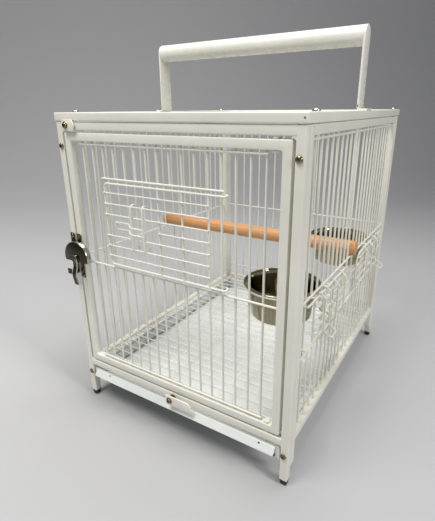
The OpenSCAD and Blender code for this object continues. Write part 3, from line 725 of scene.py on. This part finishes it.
top = bmesh.new()
mitred_frame(top, -TOP_OVER, CAGE_W + TOP_OVER, -TOP_OVER, CAGE_D + TOP_OVER, 2.4, 2.0,
             lambda x, y, d: Vector((x, y, TOP_Z + d)))
drain = bmesh.new()
lathe(drain, [(0, -1), (1.4, -1), (1.4, 3), (0, 3)], 16,
      facing((CAGE_W + TOP_OVER - 4.2, 0.5, TOP_Z + MID), FRONT))
make_piece(carve(top, drain), "top_tube_frame", "white_powder_coat", "cage", ["top_frame"])

door = bmesh.new()
mitred_frame(door, DOOR_X0, DOOR_X1, DOOR_Z0, DOOR_Z1, 3.0, 3.5,
             lambda x, z, d: Vector((x, d, z)))
make_piece(door, "door_tube_frame", "white_powder_coat", "front_door", ["door_frame"])


# ---------------------------------------------------------------- grilles
def bar(bm, a, b, d=WIRE):
    """A straight wire whose ends run into a tube, with a weld bead at each."""
    a, b = Vector(a), Vector(b)
    along = unit(b - a)
    sweep(bm, [a - along, b + along], circle(d, 14))
    for end, way in ((a, along), (b, -along)):
        bead(bm, end + way * 0.2, (2.4, d * 1.45, d * 1.45), along)


def crossings(bm, points, along):
    """Weld nuggets where wires cross, each a little different."""
    for i, point in enumerate(points):
        grow = 1.0 + 0.12 * math.sin(i * 2.4 + point[0] * 0.7)
        bead(bm, point, (WIRE * 1.05 * grow, WIRE * 0.95, WIRE * 0.95 * grow), along)


back_wires = bmesh.new()
back_y = CAGE_D - MID
back_pitch = (CAGE_W - 2 * TUBE) / 18
back_xs = [TUBE + i * back_pitch for i in range(1, 18)]
cross_y = back_y - WIRE * WELD
for x in back_xs:
    bar(back_wires, (x, back_y, RAIL_TOP), (x, back_y, FRAME_H - TUBE))
for z in (RAIL_TOP + NEAR_WIRE + 24, MID_Z, FRAME_H - TUBE - NEAR_WIRE):
    bar(back_wires, (TUBE, cross_y, z), (CAGE_W - TUBE, cross_y, z))
    crossings(back_wires, [(x, (back_y + cross_y) / 2, z) for x in back_xs], (1, 0, 0))
make_piece(back_wires, "back_wires", "white_powder_coat", "cage", ["back_bars"])


def side_wires(name, node, x, out, cuts):
    """A side panel's bars; out is +1 for the right panel, whose cross wires lie outside."""
    bm = bmesh.new()
    z0, z1 = SIDE_RAIL_Z + TUBE, FRAME_H - TUBE
    cross_x = x + out * WIRE * WELD
    ys = []
    for k in range(1, SIDE_BARS + 1):
        for y in (side_bar_y(k), CAGE_D - side_bar_y(k)):
            ys.append(y)
            if cuts and FIRST_CUT <= k <= LAST_CUT:
                wire(bm, [(x, y, z0 - 1), (x, y, FEEDER_SILL + 0.8)])
                wire(bm, [(x, y, MID_Z - 0.8), (x, y, z1 + 1)])
            else:
                bar(bm, (x, y, z0), (x, y, z1))
    heights = [MID_Z, z1 - NEAR_WIRE] + ([FEEDER_SILL] if cuts else [])
    for z in heights:
        bar(bm, (cross_x, SIDE_Y0 + TUBE, z), (cross_x, SIDE_Y1 - TUBE, z))
        crossings(bm, [((x + cross_x) / 2, y, z) for y in ys], (0, 1, 0))
    make_piece(bm, name, "white_powder_coat", "cage", [node])


side_wires("left_wires", "left_bars", MID, -1, False)
side_wires("right_wires", "right_bars", CAGE_W - MID, 1, True)

top_wires = bmesh.new()
top_in = TUBE - TOP_OVER
top_bar_z = TOP_Z + MID
top_pitch = (CAGE_W - 2 * top_in) / 18
top_xs = [top_in + i * top_pitch for i in range(1, 18)]
for x in top_xs:
    bar(top_wires, (x, top_in, top_bar_z), (x, CAGE_D - top_in, top_bar_z))
cross_z = top_bar_z - WIRE * WELD
for y in (top_in + NEAR_WIRE, CAGE_D / 2 - 40, CAGE_D / 2 + 40, CAGE_D - top_in - NEAR_WIRE):
    bar(top_wires, (top_in, y, cross_z), (CAGE_W - top_in, y, cross_z))
    crossings(top_wires, [(x, y, (top_bar_z + cross_z) / 2) for x in top_xs], (1, 0, 0))
make_piece(top_wires, "top_wires", "white_powder_coat", "cage", ["top_bars"])

door_wires = bmesh.new()
z0, z1 = DOOR_Z0 + TUBE, DOOR_Z1 - TUBE
cross_y = MID - WIRE * WELD
for i in range(DOOR_BARS):
    x = bar_x(i)
    if ACCESS_BAR0 < i < ACCESS_BAR1:
        wire(door_wires, [(x, MID, z0 - 1), (x, MID, SILL_Z + 0.8)])
        wire(door_wires, [(x, MID, LINTEL_Z - 0.8), (x, MID, z1 + 1)])
    else:
        bar(door_wires, (x, MID, z0), (x, MID, z1))
bar(door_wires, (DOOR_X0 + TUBE, cross_y, SILL_Z), (DOOR_X1 - TUBE, cross_y, SILL_Z))
for z in (z0 + NEAR_WIRE, z1 - NEAR_WIRE):
    wire(door_wires, [(bar_x(0) - 4, cross_y, z), (bar_x(DOOR_BARS - 1) + 3, cross_y, z)])
lintel_ends = (bar_x(ACCESS_BAR0) - 5, bar_x(ACCESS_BAR1) + 5)
wire(door_wires, [(lintel_ends[0], cross_y, LINTEL_Z), (lintel_ends[1], cross_y, LINTEL_Z)])
for z in (z0 + NEAR_WIRE, z1 - NEAR_WIRE, SILL_Z, LINTEL_Z):
    first, last = (ACCESS_BAR0, ACCESS_BAR1) if z == LINTEL_Z else (0, DOOR_BARS - 1)
    crossings(door_wires, [(bar_x(i), (MID + cross_y) / 2, z) for i in range(first, last + 1)],
              (1, 0, 0))
make_piece(door_wires, "door_wires", "white_powder_coat", "front_door", ["door_grille"])


# ---------------------------------------------------------------- wire doors and latches
def placed(to_panel, path):
    return [to_panel(*p) for p in path]


def access_point(x, y, z):
    """The access door's own frame, whose z axis is the hinge bar."""
    return Vector((ACCESS_X1 + x, MID + y, ACCESS_BOTTOM + z))


def feeder_point(rear):
    """A feeder door's own frame: the hinge bar is the z axis and the outside faces -y."""
    if rear:
        return lambda x, y, z: Vector((FEEDER_X - y, CAGE_D - FEEDER_HINGE_Y + x,
                                       FEEDER_BOTTOM + z))
    return lambda x, y, z: Vector((FEEDER_X - y, FEEDER_HINGE_Y - x, FEEDER_BOTTOM + z))


def border(bm, at, w, h, bend, past):
    """A door's border; both ends curl round the hinge bar."""
    y = -LEAF_OFF
    inner = [(-w, y, 0), (-w, y, h)]
    straight = rounded([(past, y, 0), *inner, (past, y, h)], bend, 12.0)
    curl = [(past, y), (past, 4.6), (-1.5, 4.6)]
    low = rounded([(x, v, 0) for x, v in reversed([(past - 6, y)] + curl)], 4.4)
    high = rounded([(x, v, h) for x, v in [(past - 6, y)] + curl], 4.4)
    wire(bm, placed(at, low[:-1] + straight[1:-1] + high[1:]), bend=0.01)


def row_inset(h, bend, z):
    """How far inside the rounded free end a row at the height z meets the border."""
    deep = max(0.0, bend - z, z - h + bend)
    return bend - math.sqrt(bend * bend - deep * deep)


def access_row_z(k):
    return 15.5 + k * (ACCESS_H - 29.0) / (ACCESS_ROWS - 1)


access = bmesh.new()
border(access, access_point, ACCESS_W, ACCESS_H, 7, 8)
for k in range(ACCESS_ROWS):
    z = access_row_z(k)
    x0 = (-ACCESS_COLS[2] if k == BOLT_ROW else -ACCESS_W) - PAST_EDGE
    wire(access, placed(access_point, [(x0, ROW_Y, z), (PAST_EDGE - ACCESS_COLS[0], ROW_Y, z)]),
         THIN)
    meets = [-x for x in ACCESS_COLS] + ([] if k == BOLT_ROW else [-ACCESS_W])
    for x in meets:
        bead(access, access_point(x, ROW_Y + 1.3, z), (3.4, 2.4, 2.6), (1, 0, 0))
for x in ACCESS_COLS:
    wire(access, placed(access_point, [(-x, -LEAF_OFF, -1.2), (-x, -LEAF_OFF, ACCESS_H + 1.2)]))
    for z in (0, ACCESS_H):
        bead(access, access_point(-x, -LEAF_OFF, z), (5.0, 3.7, 4.6), (1, 0, 0))
make_piece(access, "access_door_wires", "white_powder_coat", "access_door", ["access_door"])

latch = bmesh.new()
reach = THIN + 0.35
outer = ROW_Y - reach
inner = outer + 12.5
low, high = access_row_z(1) - reach, access_row_z(ACCESS_ROWS - 2) + reach
latch_xs = (54 - ACCESS_W, 76 - ACCESS_W)
bolt_end = 5.5 - ACCESS_W
arms = (access_row_z(BOLT_ROW) - 9, access_row_z(BOLT_ROW) + 1.5)
for x in latch_xs:
    wire(latch, placed(access_point, [
        (x, inner + 0.4, low + 9), (x, inner, low), (x, outer, low), (x, outer, high),
        (x, inner, high), (x, inner + 0.4, high - 9)]), CANE_WIRE, bend=5.0)
for z in arms:
    wire(latch, placed(access_point, [
        (latch_xs[1] + 1.5, outer, z), (latch_xs[0] - 3, outer, z),
        (latch_xs[0] - 20, BOLT_IN, z), (bolt_end, BOLT_IN, z)]), CANE_WIRE, bend=9)
    for x in latch_xs:
        bead(latch, access_point(x, outer, z), (2.9, 3.0, 2.9), (1, 0, 0))
wire(latch, placed(access_point, [(bolt_end + 3.5, BOLT_IN, arms[0] - 1),
                                  (bolt_end + 3.5, BOLT_IN, arms[1] + 1)]), CANE_WIRE)
make_piece(latch, "access_latch_wires", "white_powder_coat", "access_latch", ["access_latch"])


def cane(bm, at, x, gap):
    """An upright that hooks over the top border and under the bottom one."""
    a = (WIRE + THIN) / 2 + gap
    y = -LEAF_OFF
    out = y - CANE_OUT
    top_z = FEEDER_H + a
    wire(bm, placed(at, [
        (x, y + a, FEEDER_H - 4), (x, y + a, top_z), (x, y - a, top_z), (x, out, top_z - 8),
        (x, out, 8 - a), (x, y - a, -a), (x, y + a, -a), (x, y + a, 5)]), CANE_WIRE, bend=3.0)


def feeder_door(rear, name, node, body):
    at = feeder_point(rear)
    bm = bmesh.new()
    bend = 24
    border(bm, at, FEEDER_W, FEEDER_H, bend, 6)
    for x in FEEDER_COLS:
        wire(bm, placed(at, [(-x, -LEAF_OFF, -1.2), (-x, -LEAF_OFF, FEEDER_H + 1.2)]))
        for z in (0, FEEDER_H):
            bead(bm, at(-x, -LEAF_OFF, z), (4.6, 4.6, 3.7), (0, 1, 0))
    for z in FEEDER_ROWS:
        x0 = row_inset(FEEDER_H, bend, z) - FEEDER_W - PAST_EDGE
        wire(bm, placed(at, [(x0, ROW_Y, z), (PAST_EDGE - FEEDER_COLS[0], ROW_Y, z)]), THIN)
        for x in FEEDER_COLS:
            bead(bm, at(-x, ROW_Y + 1.3, z), (3.2, 2.6, 2.6), (0, 1, 0))
    for x in HOLDER_CANES:
        cane(bm, at, -x, -0.4)
        for z in (0, FEEDER_H):
            bead(bm, at(-x, -LEAF_OFF - 2.4, z), (3.4, 3.0, 3.0), (0, 1, 0))
    ring_r = CUP_R - 3 + WIRE / 2
    ring_h = RING_Z - FEEDER_BOTTOM
    loop = [(-CUP_ALONG + ring_r * math.cos(2 * math.pi * i / 72),
             CUP_OUT + ring_r * math.sin(2 * math.pi * i / 72), ring_h) for i in range(72)]
    sweep(bm, placed(at, loop), circle(WIRE, 14), closed=True)
    for s in (-1, 1):
        x = s * 24 - CUP_ALONG
        meet = CUP_OUT - math.sqrt(ring_r ** 2 - 24 ** 2)
        wire(bm, placed(at, [(x, ROW_Y - 0.6, ring_h), (x, meet + 0.6, ring_h)]))
        bead(bm, at(x, meet, ring_h), (5.0, 4.4, 4.0), (1, 0, 0))
        bead(bm, at(x, ROW_Y, ring_h), (4.2, 4.0, 3.8), (1, 0, 0))
    make_piece(bm, name, "white_powder_coat", body, [node])


def feeder_latch(rear, name, node, body):
    at = feeder_point(rear)
    bm = bmesh.new()
    out = -LEAF_OFF - CANE_OUT
    x0, x1 = (-x for x in LATCH_CANES)
    for x in (x0, x1):
        cane(bm, at, x, 0.35)
    for z in (BOLT_ZS[0], FEEDER_H - 20):
        wire(bm, placed(at, [(x0 + 1.4, out, z), (x1 - 1.4, out, z)]), CANE_WIRE)
        for x in (x0, x1):
            bead(bm, at(x, out, z), (2.9, 2.9, 2.9), (1, 0, 0))
    bolt = [(x1, out, BOLT_ZS[0]), (x1 - 5, out + 5, BOLT_ZS[0]), (x1 - 9, BOLT_IN, BOLT_ZS[0]),
            (-BOLT_TIP, BOLT_IN, BOLT_ZS[0]), (-BOLT_TIP, BOLT_IN, BOLT_ZS[1]),
            (x1 - 9, BOLT_IN, BOLT_ZS[1]), (x1 - 5, out + 5, BOLT_ZS[1]), (x1, out, BOLT_ZS[1])]
    wire(bm, placed(at, bolt), CANE_WIRE, bend=4.5)
    grip = [(x0, out, 12), (x0, out - GRIP_OUT, 4), (x1, out - GRIP_OUT, 4), (x1, out, 12)]
    wire(bm, placed(at, grip), CANE_WIRE, bend=4.5)
    make_piece(bm, name, "white_powder_coat", body, [node])


for rear, side in ((False, "front"), (True, "rear")):
    feeder_door(rear, f"{side}_feeder_wires", f"{side}_feeder_door", f"{side}_feeder")
    feeder_latch(rear, f"{side}_latch_wires", f"{side}_feeder_latch", f"{side}_latch")


# ---------------------------------------------------------------- cups
def cup(rear, name, node, body):
    """A deep-drawn cup: dished base, rounded corner, tapered wall, flange and rolled rim."""
    wall = 0.8
    base_r = CUP_R - 18
    rim = 1.5
    centre = feeder_point(rear)(-CUP_ALONG, CUP_OUT, RING_Z - FEEDER_BOTTOM + WIRE / 2 + 0.05)
    outside = [(0, 1.6 - CUP_H), (base_r * 0.55, 1.4 - CUP_H), (base_r * 0.8, -CUP_H)]
    outside += arc((base_r, 6 - CUP_H), 6, -90, -14, 8)
    outside += [(CUP_R - 7.6, -5.5), (CUP_R - 6.9, -2.2), (CUP_R - 5.8, 0.0)]
    roll = arc((CUP_R - rim, 1.6 - rim + 0.9), rim, -100, 200, 12)
    inside = [(CUP_R - 7.0, 0.9), (CUP_R - 8.3, -2.2), (CUP_R - 9.0, -5.5)]
    inside += [(r, h) for r, h in reversed(arc((base_r, 6 - CUP_H), 6 - wall, -90, -14, 8))]
    inside += [(base_r * 0.8, wall - CUP_H), (base_r * 0.55, 1.4 + wall - CUP_H),
               (0, 1.6 + wall - CUP_H)]
    bm = bmesh.new()
    lathe(bm, outside + roll + inside, 96, Matrix.Translation(centre))
    make_piece(bm, name, "stainless", body, [node], about=centre)


cup(False, "front_cup_shell", "front_cup", "front_cup")
cup(True, "rear_cup_shell", "rear_cup", "rear_cup")


# ---------------------------------------------------------------- tray, runners and grate
tray = bmesh.new()
middle = SHEET / 2
fold = [(0, TRAY_BACK - middle, TRAY_Z + TRAY_WALL), (0, TRAY_BACK - middle, TRAY_Z + middle),
        (0, TRAY_FRONT + middle, TRAY_Z + middle), (0, TRAY_FRONT + middle, LIP_TOP - middle),
        (0, -5.6, LIP_BOTTOM + 0.4), (0, -4.6, LIP_BOTTOM + 0.2)]
sheet(tray, fold[:4], SHEET, ((TRAY_X0 + middle, 0, 0), (TRAY_X1 - middle, 0, 0)))
lip = bmesh.new()
sheet(lip, fold[2:], SHEET, ((TRAY_X0 + 7, 0, 0), (TRAY_X1 - 7, 0, 0)), bend=1.2)
punched = bmesh.new()
for x in (55, CAGE_W - 46):
    lathe(punched, [(0, -2), (1.6, -2), (1.6, 12), (0, 12)], 20,
          facing((x, 1.5, LIP_TOP - 5), FRONT))
absorb(tray, carve(lip, punched))
for x, way in ((TRAY_X0 + middle, 1), (TRAY_X1 - middle, -1)):
    sheet(tray, [(x, 0, TRAY_Z + TRAY_WALL), (x, 0, TRAY_Z + middle),
                 (x + way * 4, 0, TRAY_Z + middle)], SHEET,
          ((0, TRAY_FRONT + 0.2, 0), (0, TRAY_BACK - 0.2, 0)))
for x in (TRAY_X0 + 7, TRAY_X1 - 8):
    plate(tray, [(TRAY_FRONT + 0.4, LIP_TOP - 1), (-4.8, LIP_BOTTOM + 1),
                 (TRAY_FRONT + 0.4, LIP_BOTTOM + 1)], 1.0,
          Matrix.Translation((x, 0, 0)) @ Matrix(((0, 0, 1, 0), (1, 0, 0, 0), (0, 1, 0, 0),
                                                  (0, 0, 0, 1))), 0.25)
make_piece(tray, "tray_pan", "white_tray", "tray", ["tray"])

for side, x, way in (("left", TUBE, 1), ("right", CAGE_W - TUBE, -1)):
    runner = bmesh.new()
    x += way * SHEET / 2
    sheet(runner, [(x + way * RUNNER_W, 0, RUNNER_Z0 + middle), (x, 0, RUNNER_Z0 + middle),
                   (x, 0, RUNNER_Z1 - middle), (x + way * RUNNER_W, 0, RUNNER_Z1 - middle)],
          SHEET, ((0, SIDE_Y0 + 1, 0), (0, SIDE_Y1 - 1, 0)))
    make_piece(runner, f"tray_runner_{side}_channel", "white_tray", "cage",
               [f"tray_runner_{side}"])

grate = bmesh.new()
edge = TUBE + 3
grate_z = RUNNER_Z1 + 0.05 + THIN / 2
x0, x1, y0, y1 = edge, CAGE_W - edge, edge, CAGE_D - edge
half = (x0 + x1) / 2
wire(grate, [(half, y0, grate_z), (x1, y0, grate_z), (x1, y1, grate_z), (x0, y1, grate_z),
             (x0, y0, grate_z), (half, y0, grate_z)], THIN, bend=5)
for i in range(1, GRATE_ROWS + 1):
    y = y0 + i * (y1 - y0) / (GRATE_ROWS + 1)
    wire(grate, [(x0 - 1, y, grate_z + 1.65), (x1 + 1, y, grate_z + 1.65)], THIN)
    for k in range(4):
        bead(grate, (x0 + k * (x1 - x0) / 3, y, grate_z + 0.9), (2.9, 2.6, 2.4), (1, 0, 0))
for k in (1, 2):
    x = x0 + k * (x1 - x0) / 3
    wire(grate, [(x, y0 - 1, grate_z), (x, y1 + 1, grate_z)], THIN)
# the grate wears the lighter copy of the white coat, painted light for the dim light inside
make_piece(grate, "grate_wires", "grate_coat_painted_lighter", "floor_grate", ["floor_grate"])


# ---------------------------------------------------------------- perch and handle
perch = bmesh.new()
r = PERCH_D / 2
length = CAGE_W + 2 * PERCH_OUT
ends = [(0, 0), (r - 1.6, 0), (r - 0.6, 0.5), (r, 1.6)]
body_rings = [(r, 1.6 + (length - 3.2) * i / 12) for i in range(1, 12)]
far = [(q, length - h) for q, h in reversed(ends)]
along_x = Matrix.Translation((-PERCH_OUT, CAGE_D / 2, PERCH_Z)) @ Matrix.Rotation(
    math.radians(90), 4, "Y")
lathe(perch, ends + body_rings + far, 64, along_x)
make_piece(perch, "perch_dowel", "beech", "cage", ["perch"])

grip = bmesh.new()
grip_x0, grip_x1 = STRAP_X + STRAP_T, CAGE_W - STRAP_X - STRAP_T
r = GRIP_D / 2
shape = [(r - 2.4, 0), (r - 0.5, 0), (r, 0.6), (r, 3.2), (r - 0.12, 3.8), (r - 0.12, 5.2)]
profile = [(r - 2.4, 6)] + shape + [(q, grip_x1 - grip_x0 - h) for q, h in reversed(shape)]
lathe(grip, profile + [(r - 2.4, grip_x1 - grip_x0 - 6)], 64,
      Matrix.Translation((grip_x0, CAGE_D / 2, GRIP_Z)) @ Matrix.Rotation(
          math.radians(90), 4, "Y"))
make_piece(grip, "handle_grip_tube", "grip_coat", "cage", ["handle_tube"])

straps = bmesh.new()
base = TOP_Z + TUBE
half_w = GRIP_D / 2
outline = [(half_w, base + 5)] + arc((0, GRIP_Z), half_w, 0, 180, 28) + [(-half_w, base + 5)]
for x, foot_x, way in ((STRAP_X, -TOP_OVER, 1),
                       (CAGE_W - STRAP_X - STRAP_T, CAGE_W + TOP_OVER, -1)):
    upright = Matrix(((0, 0, 1, x), (1, 0, 0, CAGE_D / 2), (0, 1, 0, 0), (0, 0, 0, 1)))
    plate(straps, outline, STRAP_T, upright, 0.7, 3)
    bend_x = x + STRAP_T / 2
    sheet(straps, [(foot_x, 0, base + 1.3), (bend_x, 0, base + 1.3), (bend_x, 0, base + 8)],
          2.6, ((0, CAGE_D / 2 - half_w, 0), (0, CAGE_D / 2 + half_w, 0)), bend=3.0)
make_piece(straps, "handle_straps", "grip_coat", "cage", ["handle_legs"])


# ---------------------------------------------------------------- feet and hinge bolts
feet = bmesh.new()
for x in (MID, CAGE_W - MID):
    for y in (MID, CAGE_D - MID):
        loft_square(feet, [(-10, 8.2, 1.6), (-9.4, 9.4, 1.8), (-8, 10, 1.8), (-2.6, 10, 1.6),
                           (-2.2, 12, 1.8), (-1.6, 12.1, 1.8), (-0.3, 12.1, 1.8), (0, 11.6, 1.6),
                           (0.1, 9.4, 1.0), (8, 9.2, 1.0)], (x, y, 0))
make_piece(feet, "foot_caps_moulded", "black_plastic", "cage", ["foot_caps"])

hinges = bmesh.new()
for level, way in ((0, 1), (RAIL_TOP + FRAME_H - TUBE, -1)):
    lift = Matrix.Translation((HINGE_X, MID, level)) @ Matrix.Diagonal((1, 1, way, 1))
    top_of_rail = DOOR_Z0 + TUBE + 0.3
    lathe(hinges, [(0, RAIL_TOP - 6), (2.9, RAIL_TOP - 6), (2.9, RAIL_TOP), (4.7, RAIL_TOP),
                   (5, RAIL_TOP + 0.4), (5, RAIL_TOP + 2.7), (4.7, RAIL_TOP + 3.1),
                   (2.9, RAIL_TOP + 3.2), (2.9, top_of_rail), (4.6, top_of_rail),
                   (5, top_of_rail + 0.5), (4.8, top_of_rail + 1.6), (4.0, top_of_rail + 2.8),
                   (2.4, top_of_rail + 3.4), (0, top_of_rail + 3.6)], 32, lift)
make_piece(hinges, "hinge_bolts", "white_powder_coat", "cage", ["hinge_pins"])


# ---------------------------------------------------------------- lock
def box_outline(w, h, radius):
    """A rectangle with rounded corners, centred on the origin."""
    out = []
    for k, (sx, sy) in enumerate(((1, 1), (-1, 1), (-1, -1), (1, -1))):
        out += arc((sx * (w / 2 - radius), sy * (h / 2 - radius)), radius, 90 * k, 90 * k + 90, 4)
    return out


def front_face(x, y, z):
    """A placement on a front face: +z comes out towards the front, +y stays up."""
    return Matrix(((1, 0, 0, x), (0, 0, -1, y), (0, 1, 0, z), (0, 0, 0, 1)))


lock_plate = bmesh.new()
plate(lock_plate, box_outline(TUBE - 1, 2 * LOCK_SCREW_UP + 10, 3.0), 2.5,
      front_face(LOCK_X, 0, LOCK_Z), 0.6)
lathe(lock_plate, [(0, 0), (5.5, 0), (5.5, 1.7), (5.2, 2.0), (2.9, 2.0), (2.9, 14.6),
                   (3.6, 14.7), (3.6, 15.6), (2.6, 16.3), (0, 16.5)], 32,
      front_face(LOCK_X, -2.5, LOCK_Z))
make_piece(lock_plate, "lock_plate", "chrome", "front_door", ["lock_base"])

crescent = bmesh.new()
disc = bmesh.new()
lathe(disc, [(0, CAM_THICK - 1.2), (CAM_R - 3.4, CAM_THICK - 1.2), (CAM_R - 2.6, CAM_THICK - 2),
             (CAM_R - 2.4, 0.3), (CAM_R - 2.1, 0), (CAM_R - 0.4, 0), (CAM_R, 0.5),
             (CAM_R, CAM_THICK - 2.2), (CAM_R - 0.7, CAM_THICK - 0.7),
             (CAM_R - 2.4, CAM_THICK), (0, CAM_THICK)], 96)
bmesh.ops.recalc_face_normals(disc, faces=disc.faces)
cut = bmesh.ops.bisect_plane(disc, geom=disc.verts[:] + disc.edges[:] + disc.faces[:],
                             plane_co=(0, -CAM_SKIRT, 0), plane_no=(0, -1, 0), clear_outer=True)
bmesh.ops.holes_fill(disc, edges=[e for e in disc.edges if e.is_boundary], sides=0)
bmesh.ops.transform(disc, matrix=front_face(LOCK_X, CAM_BACK, LOCK_Z), verts=disc.verts)
absorb(crescent, disc)
lathe(crescent, [(3.05, 0), (6.4, 0), (6.4, CAM_THICK + 4), (5.8, CAM_THICK + 4.6),
                 (3.05, CAM_THICK + 4.6), (3.05, 0)], 40, front_face(LOCK_X, CAM_BACK, LOCK_Z))
lever_y = CAM_BACK - CAM_THICK - 2.2
lathe(crescent, [(0, 0), (5.4, 0), (5.8, 0.5), (5.8, 2.6), (5.2, 3.2), (3.6, 3.4), (2.9, 2.6),
                 (0, 2.6)], 40, front_face(LOCK_X, lever_y + 1.4, LOCK_Z))
sheet(crescent, [(0, lever_y, LOCK_Z + 1), (0, lever_y, LOCK_Z - 13),
                 (0, lever_y - 4.5, LOCK_Z - 29), (0, lever_y - 1.5, LOCK_Z - 45.5)], 2.6,
      ((LOCK_X - 3.8, 0, 0), (LOCK_X + 3.8, 0, 0)), bend=14)
make_piece(crescent, "lock_crescent", "chrome", "lock_cam", ["lock_cam"])

keeper = bmesh.new()
hook_drop = CAM_R + 4
hook_y = CAM_BACK - CAM_THICK - 0.7
keeper_h = hook_drop + LOCK_SCREW_UP + 5
keeper_w = TUBE - 1.5
plate(keeper, box_outline(keeper_w, keeper_h, 2.5), 2.0,
      front_face(0.8 + keeper_w / 2, 0, LOCK_Z - hook_drop + keeper_h / 2), 0.5)
sheet(keeper, [(0, -0.6, LOCK_Z - hook_drop + 1.2), (0, hook_y - 1, LOCK_Z - hook_drop + 1.2),
               (0, hook_y - 1, LOCK_Z - hook_drop + 11)], 2.0,
      ((0.8, 0, 0), (0.8 + keeper_w, 0, 0)), bend=2.2)
make_piece(keeper, "lock_keeper_hook", "chrome", "cage", ["lock_keeper"])

lock_screws = bmesh.new()
add_copies(lock_screws, PAN_75, [facing((LOCK_X, -2.5, LOCK_Z + s * LOCK_SCREW_UP), FRONT, 31 * s)
                                 for s in (-1, 1)])
make_piece(lock_screws, "lock_screw_heads", "brassed_steel", "front_door", ["lock_screws"])
keeper_screw = bmesh.new()
add_copies(keeper_screw, PAN_75, [facing((MID, -2.0, LOCK_Z + LOCK_SCREW_UP), FRONT, 64)])
make_piece(keeper_screw, "keeper_screw_head", "brassed_steel", "cage", ["keeper_screws"])


# ---------------------------------------------------------------- swivel tabs
def swivel_tab(name, node, body, x, z, reach_out, stand):
    """A flat tab on a spacer and a screw, with a washer under the screw's head."""
    w = TAB_W / 2
    tip = [(reach_out + 3.2, -w + 3.5), (reach_out + 5.2, -w + 8.5), (reach_out + 3.2, w - 3.5)]
    outline = [(-w + 2, -w), (reach_out, -w), *tip, (reach_out, w), (-w + 2, w), (-w + 1, w - 1),
               (-w + 1, -w + 1)]
    bm = bmesh.new()
    plate(bm, outline, TAB_T, front_face(x, -stand, z), 0.5)
    make_piece(bm, name, "white_powder_coat", body, [node])
    fittings = bmesh.new()
    washer(fittings, (x, 0, z), FRONT, 5, 2.0, stand - 0.1)
    washer(fittings, (x, -stand - TAB_T, z), FRONT, 5.4, 2.0, 0.7)
    add_copies(fittings, PAN_8, [facing((x, -stand - TAB_T - 0.5, z), FRONT, 20)])
    make_piece(fittings, f"{name}_screw_set", "brassed_steel", "cage", [f"{node}_screw"])


swivel_tab("door_tab_plate", "door_tab", "door_tab", 27, FRAME_H - 5, 13, 3)
swivel_tab("tray_tab_plate", "tray_tab", "tray_tab", CAGE_W / 2, 65, 37, 9)


# ---------------------------------------------------------------- studio
def add_light(name, place, aim, size, power, colour=(1, 1, 1)):
    light = bpy.data.lights.new(name, "AREA")
    light.shape = "RECTANGLE"
    light.size, light.size_y = size
    light.energy = power
    light.color = colour
    obj = bpy.data.objects.new(name, light)
    obj.location = place
    obj.rotation_euler = (Vector(aim) - Vector(place)).to_track_quat("-Z", "Y").to_euler()
    bpy.context.scene.collection.objects.link(obj)


backdrop = bmesh.new()
sheet(backdrop, [(0, -4000, -10.5), (0, 3200, -10.5), (0, 3200, 5000)], 1.0,
      ((-6000, 0, 0), (6000, 0, 0)), bend=1600)
bmesh.ops.transform(backdrop, matrix=Matrix.Scale(0.001, 4) @ Matrix.Translation((0, 0, FOOT_H)),
                    verts=backdrop.verts)
backdrop_mesh = bpy.data.meshes.new("studio_backdrop")
backdrop.to_mesh(backdrop_mesh)
backdrop.free()
backdrop_mesh.materials.append(plain_backdrop("backdrop"))
backdrop_mesh.shade_smooth()
backdrop_object = bpy.data.objects.new("studio_backdrop", backdrop_mesh)
backdrop_object.rotation_euler = (0, 0, math.radians(32))
bpy.context.scene.collection.objects.link(backdrop_object)

world = bpy.data.worlds.new("studio")
world.use_nodes = True
world.node_tree.nodes["Background"].inputs["Color"].default_value = (0.95, 0.96, 1.0, 1.0)
world.node_tree.nodes["Background"].inputs["Strength"].default_value = 0.32
bpy.context.scene.world = world
add_light("key", (-0.4, -1.15, 2.4), (0, 0, 0.25), (0.8, 0.8), 46, (1.0, 0.985, 0.955))
add_light("side", (2.0, -0.4, 1.3), (0, 0, 0.25), (0.6, 0.6), 19, (1.0, 0.99, 0.97))
add_light("over", (0.0, 0.3, 2.4), (0, 0, 0.2), (1.1, 1.1), 29)
bpy.context.scene.view_settings.view_transform = "Standard"

# The camera, as its right, down and forward directions, in metres
RIGHT = Vector((0.84969, 0.52724, -0.00717))
DOWN = Vector((0.17140, -0.28904, -0.94185))
FORWARD = Vector((-0.49866, 0.79904, -0.33596))
camera = bpy.data.cameras.new("camera")
camera.lens = 28.32
camera.sensor_width = 36
camera.shift_x, camera.shift_y = -0.0111, -0.0100
camera_object = bpy.data.objects.new("camera", camera)
basis = Matrix((RIGHT, -DOWN, -FORWARD)).transposed().to_4x4()
camera_object.matrix_world = Matrix.Translation((0.36438, -0.67927, 0.51804)) @ basis
bpy.context.scene.collection.objects.link(camera_object)
bpy.context.scene.camera = camera_object

bpy.context.view_layer.update()
